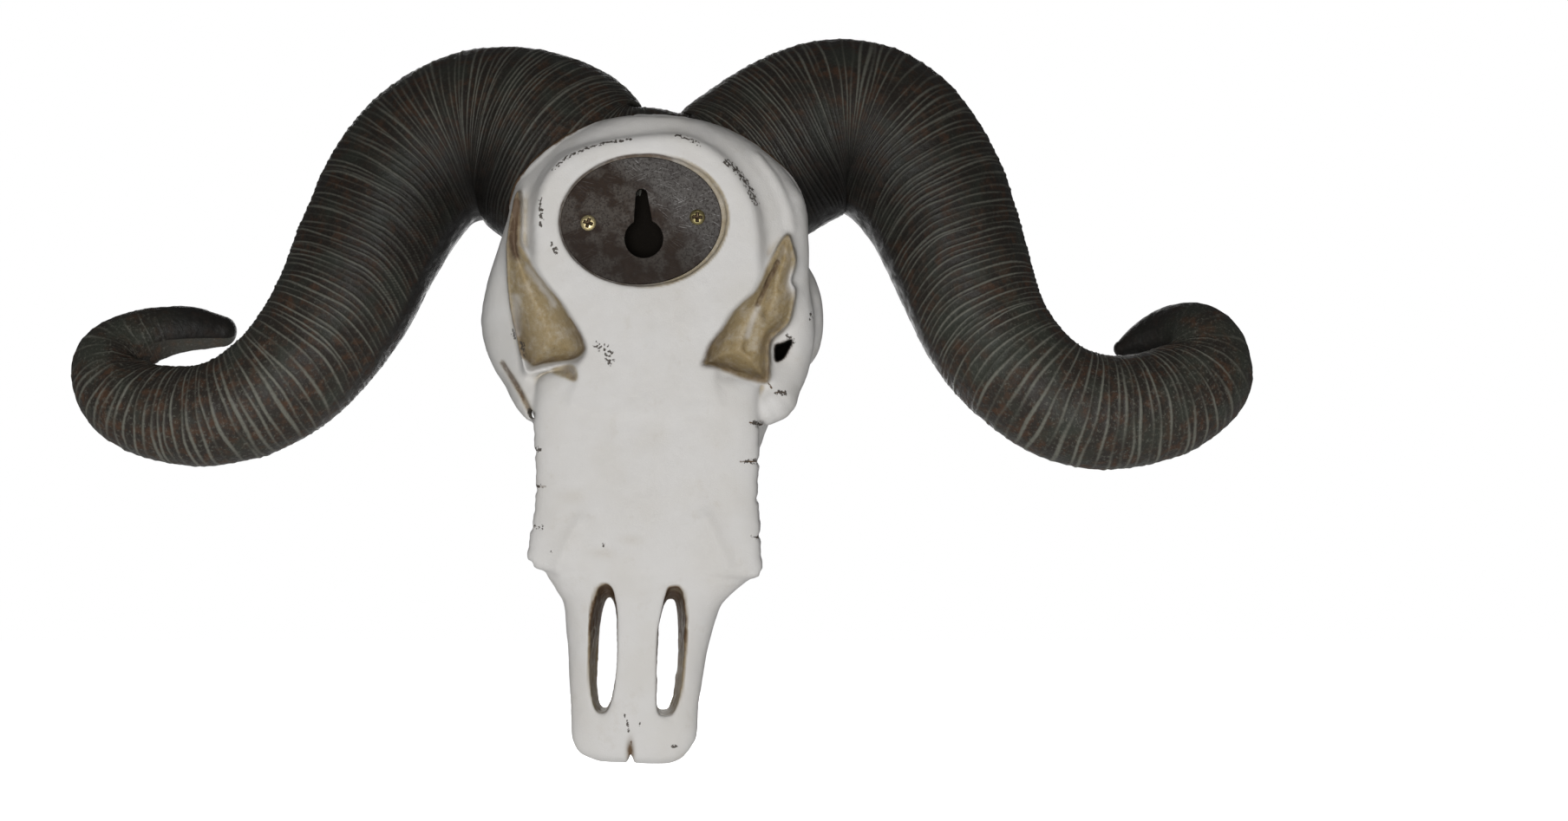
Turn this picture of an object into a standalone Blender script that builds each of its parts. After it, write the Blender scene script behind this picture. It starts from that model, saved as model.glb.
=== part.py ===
"""A hanging ornament: a ram's skull cast in resin, with two ridged horns and a steel hanger plate.

The skull hangs upright with its face towards -Y and its back on the wall plane, y = 0.
X runs to the ram's left and Z runs up. The origin is the centre of the hanger plate.
Sizes below are millimetres. Blender's metres come from MM at the last step.
"""

import math

import bmesh
import bpy
from mathutils import Matrix, Vector

MM = 0.001
GAP = 0.3  # clearance between neighbouring pieces

# The skull is symmetric about its own midline, which stands and leans like this.
MIDLINE_X = -2.5
LEAN = math.radians(-2.0)

# Rings of the face, from crown to nose tip: height, half width, back, front, narrowing, squareness.
FACE = (
    (27, 17, -30, -55, 0.25, 2.4),
    (19, 29, -24, -62, 0.25, 2.6),
    (8, 36, -22, -65, 0.25, 2.8),
    (-8, 38, -22, -62, 0.28, 2.8),
    (-22, 37, -22, -56, 0.35, 2.8),
    (-36, 35, -18, -49, 0.42, 2.8),
    (-44, 32.5, -4, -46, 0.46, 3.2),
    (-60, 30.5, -1, -41, 0.52, 3.4),
    (-76, 30, -0.5, -36, 0.50, 3.6),
    (-90, 31, -0.5, -31, 0.48, 3.6),
    (-96, 28, -0.5, -29, 0.42, 3.2),
    (-102, 26.5, -1, -26.5, 0.34, 2.8),
    (-110, 22, -1, -24, 0.30, 2.6),
    (-123, 20.5, -1.5, -19.5, 0.28, 2.6),
    (-135, 18.8, -2, -15.5, 0.25, 2.6),
    (-143, 16, -2, -13, 0.20, 2.4),
    (-147.5, 8, -4, -10.5, 0.10, 2.2),
)

# Rings of the back of the head, from its dome down the neck to the palate.
BACK = (
    (30.5, 8, -14, -34, 0.0, 2.2),
    (28, 18, -10, -38, 0.0, 2.4),
    (23, 28, -6, -40, 0.0, 2.6),
    (15, 36.5, -3.5, -40, 0.0, 2.8),
    (5, 41, -2, -40, 0.0, 2.8),
    (-5, 37, -1.5, -38, 0.0, 2.8),
    (-14, 31, -1, -34, 0.0, 3.0),
    (-22, 24.5, -1, -30, 0.0, 3.2),
    (-30, 18, -1, -28, 0.0, 3.2),
    (-37, 16.5, -1, -28, 0.0, 3.2),
    (-42, 20, -1, -28, 0.0, 3.2),
    (-47, 27, -1, -28, 0.0, 3.4),
    (-54, 27, -1, -28, 0.0, 3.4),
)
RING_POINTS = 48

# The raised oval that carries the hanger plate, and the recess cut in it.
PLATEAU_X = 1.5
PLATEAU_Z = -1.5
PLATEAU_HALF_WIDTH = 29.5
PLATEAU_HALF_HEIGHT = 24
PLATEAU_DEPTH = 9

# Eye sockets: a ring of bone each side, its axis turned forwards and up from the side.
ORBIT = (38.5, -35.0, -22.0)
ORBIT_RING_RADIUS = 12.5
ORBIT_TUBE_RADIUS = 4.2
ORBIT_AXIS = (0.88, -0.42, 0.12)
SOCKET_RADIUS = 11.0
SOCKET_DEPTH = 15.0
SOCKET_LIFT = 5.0  # the socket's hollow is centred this far out along its axis
ORBIT_BACKING = (34.5, -33, -22)  # bone behind the socket: its centre and half sizes
ORBIT_BACKING_HALF = (10, 15, 17)

# Struts of bone at each side: start, end and their radii.
CHEEK_STRUTS = (
    ((39, -18, 2), (41, -21, -18), 4.5, 6.0),
    ((41, -21, -18), (40.5, -20, -32), 6.0, 5.5),
    ((40.5, -20, -32), (33.5, -15, -47), 5.5, 6.0),
    ((33.5, -15, -47), (27, -10, -53), 6.0, 6.0),
    ((39, -28, -33), (29, -26, -52), 6.5, 7.0),
)

# Hollows between neck and cheek: centre and half sizes of each scoop.
FOSSA_SCOOPS = (
    ((31, -8, -29), (9.0, 17, 12.5)),
    ((35.5, -7, -13), (3.6, 15, 16.5)),
    ((24, -8, -33.5), (7.0, 16, 7.5)),
)

# Upper cheek teeth: rings of the slab that both rows make, and the grooves between the crowns.
TOOTH_ROWS = (
    (-44, 28.5, -1, -14, 0.0, 4.0),
    (-47, 30.4, -0.8, -16, 0.0, 4.5),
    (-62, 30.2, -0.6, -16, 0.0, 4.5),
    (-78, 30.4, -0.6, -15, 0.0, 4.5),
    (-88, 32.0, -0.6, -14, 0.0, 4.5),
    (-93, 31.6, -1.2, -13, 0.0, 4.0),
    (-96, 28, -2.5, -12, 0.0, 3.0),
)
TOOTH_GROOVE_COUNT = 5
TOOTH_GROOVE_TOP_Z = -48.5
TOOTH_GROOVE_PITCH = 9.2
TOOTH_GROOVE_X = 30.9
TOOTH_GROOVE_RADIUS = 1.3
TOOTH_GROOVE_FRONT = -18.0

# The nose opening, and the two slots that run from it out through the back.
NOSE_Z = -121
NOSE_HALF = (12.0, 15.0, 16.0)
NOSE_Y = -24.0
NASAL_ROOF = (
    (-84, 10, -27, -34, 0.2, 2.4),
    (-96, 9.5, -23, -30.5, 0.2, 2.4),
    (-108, 8, -19.5, -26.5, 0.2, 2.4),
    (-116, 6, -18, -23.5, 0.2, 2.4),
    (-121, 3, -17.5, -20.5, 0.2, 2.4),
)
SLOT_X = 9.6
SLOT_TOP_Z = -100.5
SLOT_BOTTOM_Z = -136.0
SLOT_WIDTH_BACK = 7.6
SLOT_WIDTH_FRONT = 5.6
SLOT_FRONT = -26.0
CHIN_NOTCH_Z = -147.5
CHIN_NOTCH_RADIUS = 1.6
CHIN_NOTCH_FRONT = -20.0

# Horns: points of each centre line with the horn's radius there, from the root to the tip.
HORN_LEFT = (
    (5, -22, 2, 16.0),
    (14, -31, 9, 26.0),
    (29, -42, 23.5, 27.5),
    (48, -47, 29.5, 25.5),
    (66, -46, 23, 23.5),
    (77.5, -42, 7, 22.0),
    (91, -35, -24.5, 19.0),
    (104.5, -28, -43, 17.0),
    (124.5, -27, -52.5, 14.5),
    (147.5, -31, -49.5, 13.0),
    (156, -38, -37, 10.5),
    (141.5, -46, -28, 7.5),
    (127.5, -49, -27.5, 4.0),
)
HORN_RIGHT = (
    (-10, -22, 2, 16.0),
    (-18, -31, 9, 26.0),
    (-29.5, -41, 19.5, 26.0),
    (-49, -47, 30.5, 26.5),
    (-67.5, -47, 28.5, 25.0),
    (-82, -42, 9.5, 22.0),
    (-95.5, -35, -27, 18.5),
    (-110, -28, -45, 17.0),
    (-126.5, -27, -52, 16.5),
    (-146.5, -31, -49.5, 15.5),
    (-159.5, -38, -41, 13.5),
    (-157, -45, -31, 10.5),
    (-141.5, -48.5, -30, 5.5),
)
SEAT_POINTS = 6  # only this much of a horn lies near the skull
HORN_STEPS = 3  # rings from one point of the centre line to the next
HORN_SIDES = 20
TIP_RINGS = ((0.6, 0.8), (0.9, 0.42))  # past the last point, forward and radius in last radii

# Hanger plate: an oval of sheet steel with a keyhole, held by two screws.
PLATE_HALF_WIDTH = 22.5
PLATE_HALF_HEIGHT = 17.8
PLATE_THICKNESS = 1.2
PLATE_FACE_Y = -0.8  # the plate lies this far below the wall plane
PLATE_TURN = math.radians(3.0)
PLATE_SIDES = 72
PLATE_CUT_FRONT = -6.0  # how far in the cutters reach that go through the plate
KEYHOLE_Z = -5.0
KEYHOLE_RADIUS = 5.15
KEYHOLE_SLOT_TOP_Z = 8.4
KEYHOLE_SLOT_BOTTOM_WIDTH = 4.8
KEYHOLE_SLOT_TOP_WIDTH = 3.0
POCKET_HALF_WIDTH = 7.0
POCKET_TOP_Z = 13.0
POCKET_BOTTOM_Z = -12.0
POCKET_DEPTH = 10.0

SCREW_X = 14.75
SCREW_HEAD_RADIUS = 2.1
SCREW_HEAD_HEIGHT = 0.7
SCREW_SHAFT_RADIUS = 1.1
SCREW_LENGTH = 9.0
SCREW_SIDES = 24
CROSS_ARM = 2.6
CROSS_WIDTH = 0.7
CROSS_DEPTH = 0.45

CUT_BACK = 4.0  # cutters that open on the back start this far behind the wall plane
REACH = 90.0  # more than any horn reaches, for the boxes that trim its root

# Remeshing of the skull.
VOXEL = 1.3
SMOOTH_STEPS = 4
SKULL_KEEP = 0.038  # share of the remeshed faces that the finished skull keeps


def clear_scene():
    for obj in list(bpy.data.objects):
        bpy.data.objects.remove(obj, do_unlink=True)


def material(name, colour, roughness, metallic=0.0):
    mat = bpy.data.materials.new(name)
    mat.use_nodes = True
    shader = mat.node_tree.nodes["Principled BSDF"]
    shader.inputs["Base Color"].default_value = (*colour, 1.0)
    shader.inputs["Roughness"].default_value = roughness
    shader.inputs["Metallic"].default_value = metallic
    return mat


def object_from(name, bm, mat=None):
    """The bmesh, in millimetres, as an object of the scene, in metres."""
    bmesh.ops.scale(bm, vec=(MM, MM, MM), verts=bm.verts)
    bmesh.ops.recalc_face_normals(bm, faces=bm.faces)
    mesh = bpy.data.meshes.new(name)
    bm.to_mesh(mesh)
    bm.free()
    obj = bpy.data.objects.new(name, mesh)
    bpy.context.scene.collection.objects.link(obj)
    if mat:
        mesh.materials.append(mat)
    return obj


def hide_helper(obj):
    obj.hide_render = True
    obj.display_type = "WIRE"
    return obj


def cut(obj, cutter, name):
    modifier = obj.modifiers.new(name, "BOOLEAN")
    modifier.operation = "DIFFERENCE"
    modifier.object = hide_helper(cutter)


def set_on_midline(obj):
    obj.location = (MIDLINE_X * MM, 0, 0)
    obj.rotation_euler = (0, LEAN, 0)


def add_tube(bm, rings):
    """Joins rings of equal length side by side and closes both ends."""
    rows = [[bm.verts.new(point) for point in ring] for ring in rings]
    for row, following in zip(rows, rows[1:]):
        for i in range(len(row)):
            j = (i + 1) % len(row)
            bm.faces.new((row[i], row[j], following[j], following[i]))
    bm.faces.new(list(reversed(rows[0])))
    bm.faces.new(rows[-1])


def signed_power(value, power):
    return math.copysign(abs(value) ** power, value)


def section_ring(z, half_width, back, front, narrowing, squareness):
    """A level ring, round to square, that narrows from its back to its front."""
    ring = []
    middle = (back + front) / 2
    half_depth = (back - front) / 2
    for i in range(RING_POINTS):
        angle = math.tau * i / RING_POINTS
        across = signed_power(math.cos(angle), 2 / squareness)
        forward = signed_power(math.sin(angle), 2 / squareness)
        width = half_width * (1 - narrowing * (forward + 1) / 2)
        ring.append((across * width, middle - forward * half_depth, z))
    return ring


def add_loft(bm, sections):
    add_tube(bm, [section_ring(*section) for section in sections])


def add_ellipsoid(bm, centre, half_sizes):
    matrix = Matrix.Translation(centre) @ Matrix.Diagonal((*half_sizes, 1))
    bmesh.ops.create_uvsphere(bm, u_segments=32, v_segments=16, radius=1, matrix=matrix)


def add_strut(bm, start, end, start_radius, end_radius):
    """A tapered round bar with round ends."""
    start = Vector(start)
    end = Vector(end)
    along = end - start
    turn = along.to_track_quat("Z", "Y").to_matrix().to_4x4()
    bmesh.ops.create_cone(
        bm,
        cap_ends=True,
        segments=20,
        radius1=start_radius,
        radius2=end_radius,
        depth=along.length,
        matrix=Matrix.Translation((start + end) / 2) @ turn,
    )
    add_ellipsoid(bm, start, (start_radius,) * 3)
    add_ellipsoid(bm, end, (end_radius,) * 3)


def mirrored(point, side):
    return Vector((point[0] * side, point[1], point[2]))


def add_orbit_ring(bm, side):
    """The bony rim of an eye socket: a ring about an axis that points out of the head."""
    axis = mirrored(ORBIT_AXIS, side).normalized()
    turn = axis.to_track_quat("Z", "Y").to_matrix()
    centre = mirrored(ORBIT, side)
    ring_steps = 28
    tube_steps = 12
    rows = []
    for i in range(ring_steps):
        around = math.tau * i / ring_steps
        out = turn @ Vector((math.cos(around), math.sin(around), 0))
        row = []
        for j in range(tube_steps):
            angle = math.tau * j / tube_steps
            reach = ORBIT_RING_RADIUS + ORBIT_TUBE_RADIUS * math.cos(angle)
            lift = ORBIT_TUBE_RADIUS * math.sin(angle)
            row.append(bm.verts.new(centre + out * reach + axis * lift))
        rows.append(row)
    for i in range(ring_steps):
        row = rows[i]
        following = rows[(i + 1) % ring_steps]
        for j in range(tube_steps):
            k = (j + 1) % tube_steps
            bm.faces.new((row[j], row[k], following[k], following[j]))


def skull_bulk():
    """Every lump of bone, still overlapping: the remesh fuses them."""
    bm = bmesh.new()
    add_loft(bm, FACE)
    add_loft(bm, BACK)
    add_loft(bm, TOOTH_ROWS)
    matrix = Matrix.Translation((PLATEAU_X, -PLATEAU_DEPTH / 2, PLATEAU_Z))
    matrix = matrix @ Matrix.Rotation(math.pi / 2, 4, "X")
    matrix = matrix @ Matrix.Diagonal((PLATEAU_HALF_WIDTH, PLATEAU_HALF_HEIGHT, 1, 1))
    bmesh.ops.create_cone(
        bm, cap_ends=True, segments=64, radius1=1, radius2=1, depth=PLATEAU_DEPTH, matrix=matrix
    )
    for side in (1, -1):
        add_orbit_ring(bm, side)
        add_ellipsoid(bm, mirrored(ORBIT_BACKING, side), ORBIT_BACKING_HALF)
        for start, end, start_radius, end_radius in CHEEK_STRUTS:
            add_strut(bm, mirrored(start, side), mirrored(end, side), start_radius, end_radius)
    return bm


def soft_hollows():
    """The rounded hollows: both eye sockets, the pits beside the neck, and the nose opening."""
    bm = bmesh.new()
    for side in (1, -1):
        axis = mirrored(ORBIT_AXIS, side).normalized()
        turn = axis.to_track_quat("Z", "Y").to_matrix().to_4x4()
        centre = mirrored(ORBIT, side) + axis * SOCKET_LIFT
        matrix = Matrix.Translation(centre) @ turn
        matrix = matrix @ Matrix.Diagonal((SOCKET_RADIUS, SOCKET_RADIUS, SOCKET_DEPTH, 1))
        bmesh.ops.create_uvsphere(bm, u_segments=32, v_segments=16, radius=1, matrix=matrix)
    hollows = [object_from("socket_cutter", bm)]
    for number, (centre, half_sizes) in enumerate(FOSSA_SCOOPS):
        for side in (1, -1):
            bm = bmesh.new()
            add_ellipsoid(bm, mirrored(centre, side), half_sizes)
            hollows.append(object_from(f"fossa_cutter_{number}_{side}", bm))
    bm = bmesh.new()
    add_ellipsoid(bm, (0, NOSE_Y, NOSE_Z), NOSE_HALF)
    hollows.append(object_from("nose_cutter", bm))
    return hollows


def slot_cutter(side):
    """A tall slot with round ends that narrows from the back of the muzzle to the nose opening."""
    bm = bmesh.new()
    rings = []
    for y, width in ((CUT_BACK, SLOT_WIDTH_BACK), (SLOT_FRONT, SLOT_WIDTH_FRONT)):
        radius = width / 2
        ring = []
        for i in range(24):
            angle = math.tau * i / 24
            end_z = SLOT_TOP_Z - radius if math.sin(angle) > 0 else SLOT_BOTTOM_Z + radius
            ring.append((SLOT_X * side + radius * math.cos(angle), y, end_z + radius * math.sin(angle)))
        rings.append(ring)
    add_tube(bm, rings)
    return object_from(f"slot_cutter_{side}", bm)


def groove_cutter(name, x, z, radius, front):
    """A round rod that runs from behind the skull to the given depth."""
    bm = bmesh.new()
    matrix = Matrix.Translation((x, (CUT_BACK + front) / 2, z)) @ Matrix.Rotation(math.pi / 2, 4, "X")
    bmesh.ops.create_cone(
        bm,
        cap_ends=True,
        segments=12,
        radius1=radius,
        radius2=radius,
        depth=CUT_BACK - front,
        matrix=matrix,
    )
    return object_from(name, bm)


def groove_cutters():
    """The notch in the tip of the muzzle and the grooves between the teeth."""
    grooves = [groove_cutter("chin_groove", 0, CHIN_NOTCH_Z, CHIN_NOTCH_RADIUS, CHIN_NOTCH_FRONT)]
    for number in range(TOOTH_GROOVE_COUNT):
        z = TOOTH_GROOVE_TOP_Z - TOOTH_GROOVE_PITCH * number
        for side in (1, -1):
            name = f"tooth_groove_{number}_{side}"
            x = TOOTH_GROOVE_X * side
            grooves.append(groove_cutter(name, x, z, TOOTH_GROOVE_RADIUS, TOOTH_GROOVE_FRONT))
    return grooves


def smooth_path(points, steps):
    """Points and radii along a smooth (Catmull-Rom) curve through the given ones."""
    rows = [Vector(point) for point in points]
    rows = [rows[0] * 2 - rows[1], *rows, rows[-1] * 2 - rows[-2]]
    path = []
    for before, start, end, after in zip(rows, rows[1:], rows[2:], rows[3:]):
        slope = (end - before) / 2
        bend = before - start * 2.5 + end * 2 - after / 2
        twist = (start * 3 - before - end * 3 + after) / 2
        for step in range(steps):
            t = step / steps
            path.append(start + slope * t + bend * t**2 + twist * t**3)
    path.append(rows[-2])
    return path


def add_horn(bm, points, grow):
    """A horn's outside: round rings square to the centre line, closed by a rounded tip."""
    path = smooth_path(points, HORN_STEPS)
    centres = [Vector(row[:3]) for row in path]
    radii = [row[3] + grow for row in path]
    tip = centres[-1]
    tip_radius = radii[-1]
    tip_step = (tip - centres[-2]).normalized() * tip_radius
    for forward, width in TIP_RINGS:
        centres.append(tip + tip_step * forward)
        radii.append(tip_radius * width)
    tangent = (centres[1] - centres[0]).normalized()
    across = tangent.orthogonal().normalized()
    rings = []
    for i, centre in enumerate(centres):
        before = centres[max(i - 1, 0)]
        after = centres[min(i + 1, len(centres) - 1)]
        turned = (after - before).normalized()
        across = tangent.rotation_difference(turned) @ across
        tangent = turned
        up = tangent.cross(across)
        ring = []
        for j in range(HORN_SIDES):
            angle = math.tau * j / HORN_SIDES
            ring.append(centre + (across * math.cos(angle) + up * math.sin(angle)) * radii[i])
        rings.append(ring)
    add_tube(bm, rings)


def box(name, low, high):
    bm = bmesh.new()
    size = Vector(high) - Vector(low)
    matrix = Matrix.Translation((Vector(low) + Vector(high)) / 2) @ Matrix.Diagonal((*size, 1))
    bmesh.ops.create_cube(bm, size=1, matrix=matrix)
    return object_from(name, bm)


def dome_cutter(name, grow):
    """The back of the head alone, grown a little, which the root of a horn fits round."""
    bm = bmesh.new()
    sections = []
    for z, half_width, back, front, narrowing, squareness in BACK:
        higher = z + grow if z > 0 else z
        sections.append((higher, half_width + grow, back + grow, front - grow, narrowing, squareness))
    add_loft(bm, sections)
    obj = object_from(name, bm)
    set_on_midline(obj)
    return obj


def horn(name, points, side, grow=0.0, mat=None):
    """A horn, cut flat where it meets its twin on the midline and where it meets the dome."""
    bm = bmesh.new()
    add_horn(bm, points, grow)
    obj = object_from(name, bm, mat)
    inner = GAP / 2 - grow
    low_x, high_x = (-REACH, inner) if side > 0 else (-inner, REACH)
    twin_side = box(f"{name}_twin_side", (low_x, -REACH, -REACH), (high_x, REACH, REACH))
    set_on_midline(twin_side)
    cut(obj, twin_side, "twin side")
    cut(obj, dome_cutter(f"{name}_dome", GAP - grow), "dome")
    obj.data.shade_smooth()
    return obj


def keyhole_outline():
    """The keyhole, anticlockwise from where its slot joins the round part, as (x, z) pairs."""
    half = KEYHOLE_SLOT_BOTTOM_WIDTH / 2
    start = math.acos(half / KEYHOLE_RADIUS)
    outline = []
    steps = 28
    for i in range(steps + 1):
        angle = start - (2 * math.pi - (math.pi - 2 * start)) * i / steps
        x = KEYHOLE_RADIUS * math.cos(angle)
        z = KEYHOLE_Z + KEYHOLE_RADIUS * math.sin(angle)
        outline.append((x, z))
    radius = KEYHOLE_SLOT_TOP_WIDTH / 2
    for i in range(9):
        angle = math.pi - math.pi * i / 8
        z = KEYHOLE_SLOT_TOP_Z - radius + radius * math.sin(angle)
        outline.append((radius * math.cos(angle), z))
    return outline


def add_prism(bm, outline, back, front):
    """An outline of (x, z) pairs made solid from one depth to another."""
    add_tube(bm, [[(x, back, z) for x, z in outline], [(x, front, z) for x, z in outline]])


def oval_outline(half_width, half_height, sides):
    outline = []
    for i in range(sides):
        angle = math.tau * i / sides
        outline.append((half_width * math.cos(angle), half_height * math.sin(angle)))
    return outline


def turn_with_plate(obj):
    obj.rotation_euler = (0, PLATE_TURN, 0)
    return obj


def screw_positions():
    return {"screw_left": SCREW_X, "screw_right": -SCREW_X}


def hanger_plate(mat):
    bm = bmesh.new()
    outline = oval_outline(PLATE_HALF_WIDTH, PLATE_HALF_HEIGHT, PLATE_SIDES)
    add_prism(bm, outline, PLATE_FACE_Y, PLATE_FACE_Y - PLATE_THICKNESS)
    plate = turn_with_plate(object_from("hanger_plate", bm, mat))
    bm = bmesh.new()
    add_prism(bm, keyhole_outline(), CUT_BACK, PLATE_CUT_FRONT)
    cut(plate, turn_with_plate(object_from("keyhole_cutter", bm)), "keyhole")
    for name, x in screw_positions().items():
        cut(plate, screw_hole(f"{name}_plate_cutter", x, PLATE_CUT_FRONT), "screw hole")
    return plate


def round_outline(x, radius):
    return [(x + dx, dz) for dx, dz in oval_outline(radius, radius, SCREW_SIDES)]


def screw_hole(name, x, front):
    bm = bmesh.new()
    add_prism(bm, round_outline(x, SCREW_SHAFT_RADIUS + GAP), CUT_BACK, front)
    return turn_with_plate(object_from(name, bm))


def screw(name, x, mat):
    """A round head lying on the plate with a cross recess, and a shaft down into the resin."""
    bm = bmesh.new()
    seat = PLATE_FACE_Y + GAP
    rings = []
    for radius, y in (
        (SCREW_HEAD_RADIUS * 0.55, seat + SCREW_HEAD_HEIGHT),
        (SCREW_HEAD_RADIUS * 0.9, seat + SCREW_HEAD_HEIGHT * 0.7),
        (SCREW_HEAD_RADIUS, seat + SCREW_HEAD_HEIGHT * 0.2),
        (SCREW_HEAD_RADIUS, seat),
        (SCREW_SHAFT_RADIUS, seat),
        (SCREW_SHAFT_RADIUS, seat - SCREW_LENGTH + SCREW_SHAFT_RADIUS),
        (SCREW_SHAFT_RADIUS * 0.2, seat - SCREW_LENGTH),
    ):
        rings.append([(px, y, pz) for px, pz in round_outline(x, radius)])
    add_tube(bm, rings)
    obj = turn_with_plate(object_from(name, bm, mat))
    arm = CROSS_ARM / 2
    half = CROSS_WIDTH / 2
    top = seat + SCREW_HEAD_HEIGHT
    floor = top - CROSS_DEPTH
    for label, dx, dz in (("level", arm, half), ("upright", half, arm)):
        cutter = box(f"{name}_{label}_cutter", (x - dx, floor, -dz), (x + dx, top + 1, dz))
        cut(obj, turn_with_plate(cutter), f"{label} slot")
    return obj


def plate_recess_cutter():
    bm = bmesh.new()
    outline = oval_outline(PLATE_HALF_WIDTH + GAP, PLATE_HALF_HEIGHT + GAP, PLATE_SIDES)
    add_prism(bm, outline, CUT_BACK, PLATE_FACE_Y - PLATE_THICKNESS - GAP)
    return turn_with_plate(object_from("plate_recess_cutter", bm))


def pocket_cutter():
    """The hollow behind the keyhole that takes the head of a wall screw."""
    bm = bmesh.new()
    outline = []
    for i in range(24):
        angle = math.tau * i / 24
        top = POCKET_TOP_Z - POCKET_HALF_WIDTH
        bottom = POCKET_BOTTOM_Z + POCKET_HALF_WIDTH
        z = top if math.sin(angle) > 0 else bottom
        x = POCKET_HALF_WIDTH * math.cos(angle)
        outline.append((x, z + POCKET_HALF_WIDTH * math.sin(angle)))
    add_prism(bm, outline, 0, PLATE_FACE_Y - POCKET_DEPTH)
    return turn_with_plate(object_from("pocket_cutter", bm))


def add_remesh(obj, name):
    remesh = obj.modifiers.new(name, "REMESH")
    remesh.mode = "VOXEL"
    remesh.voxel_size = VOXEL * MM


def skull(mat):
    obj = object_from("skull", skull_bulk(), mat)
    set_on_midline(obj)
    add_remesh(obj, "fuse the bones")
    for cutter in soft_hollows():
        set_on_midline(cutter)
        cut(obj, cutter, cutter.name)
    bm = bmesh.new()
    add_loft(bm, NASAL_ROOF)
    roof = object_from("nasal_roof", bm)
    set_on_midline(roof)
    join = obj.modifiers.new("nasal roof", "BOOLEAN")
    join.operation = "UNION"
    join.object = hide_helper(roof)
    add_remesh(obj, "even out the hollows")
    smooth = obj.modifiers.new("soften", "SMOOTH")
    smooth.iterations = SMOOTH_STEPS
    decimate = obj.modifiers.new("thin out", "DECIMATE")
    decimate.ratio = SKULL_KEEP
    for cutter in (slot_cutter(1), slot_cutter(-1), *groove_cutters()):
        set_on_midline(cutter)
        cut(obj, cutter, cutter.name)
    cut(obj, plate_recess_cutter(), "plate recess")
    cut(obj, pocket_cutter(), "keyhole pocket")
    for name, x in screw_positions().items():
        cutter = screw_hole(f"{name}_skull_cutter", x, PLATE_FACE_Y - SCREW_LENGTH - 1)
        cut(obj, cutter, f"{name} hole")
    cut(obj, horn("horn_left_seat", HORN_LEFT[:SEAT_POINTS], 1, GAP), "left horn seat")
    cut(obj, horn("horn_right_seat", HORN_RIGHT[:SEAT_POINTS], -1, GAP), "right horn seat")
    obj.data.shade_smooth()
    return obj


def main():
    clear_scene()
    bone = material("bone_resin", (0.72, 0.69, 0.63), 0.6)
    dark_horn = material("horn_resin", (0.06, 0.053, 0.045), 0.45)
    steel = material("plate_steel", (0.16, 0.15, 0.15), 0.4, 1.0)
    brass = material("screw_brass", (0.8, 0.58, 0.25), 0.3, 1.0)
    skull(bone)
    horn("horn_left", HORN_LEFT, 1, mat=dark_horn)
    horn("horn_right", HORN_RIGHT, -1, mat=dark_horn)
    hanger_plate(steel)
    for name, x in screw_positions().items():
        screw(name, x, brass)


main()
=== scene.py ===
"""Looks of a ram skull wall ornament: painted resin, ridged horns and a steel hanger plate.

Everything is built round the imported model, in its frame: X to the ram's left, the face towards -Y,
the wall plane at y = 0, Z up, and the origin at the centre of the hanger plate.
Sizes are millimetres, and MM turns them into Blender's metres when a mesh is made. Only the stage's
floor and lights are given in metres.

The skull is modelled as a distance field on a grid: bones are joined and hollows are carved with
soft edges, and the zero surface becomes the mesh. It has axes of its own, x, y, z, about its midline,
which leans a little. Each horn is a tube swept along a curve, with its growth ridges in the mesh.
"""

import math
from functools import reduce

import bpy
import numpy as np
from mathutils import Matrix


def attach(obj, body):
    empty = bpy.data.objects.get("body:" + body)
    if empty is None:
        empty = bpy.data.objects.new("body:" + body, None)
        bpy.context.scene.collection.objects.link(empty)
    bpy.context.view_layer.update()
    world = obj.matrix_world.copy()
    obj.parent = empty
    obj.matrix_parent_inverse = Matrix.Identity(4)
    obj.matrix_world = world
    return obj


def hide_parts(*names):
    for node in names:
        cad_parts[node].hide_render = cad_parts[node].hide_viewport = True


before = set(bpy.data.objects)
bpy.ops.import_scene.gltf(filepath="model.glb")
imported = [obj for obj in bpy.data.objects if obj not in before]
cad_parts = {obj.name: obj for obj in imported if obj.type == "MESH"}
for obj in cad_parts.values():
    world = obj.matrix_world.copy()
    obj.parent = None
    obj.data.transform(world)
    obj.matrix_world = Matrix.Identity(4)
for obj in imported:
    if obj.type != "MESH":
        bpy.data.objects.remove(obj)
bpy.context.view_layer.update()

MM = 0.001

# The photograph's frame and viewpoint.
PHOTO_WIDTH = 1808
FOCAL_PIXELS = 2281
SENSOR = 36.0
CAMERA = (-38.1, 533.0, -51.4)

# The skull's midline in the world.
MIDLINE_X = -2.5
LEAN = math.radians(-2.0)

# The grid of the skull's field, on the skull's own axes.
GRID_LOW = (-51.0, -72.0, -151.0)
GRID_HIGH = (51.0, 2.0, 38.0)
GRID_STEP = 0.5
FAR = 50.0  # stands for every distance that is too long to matter

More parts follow.
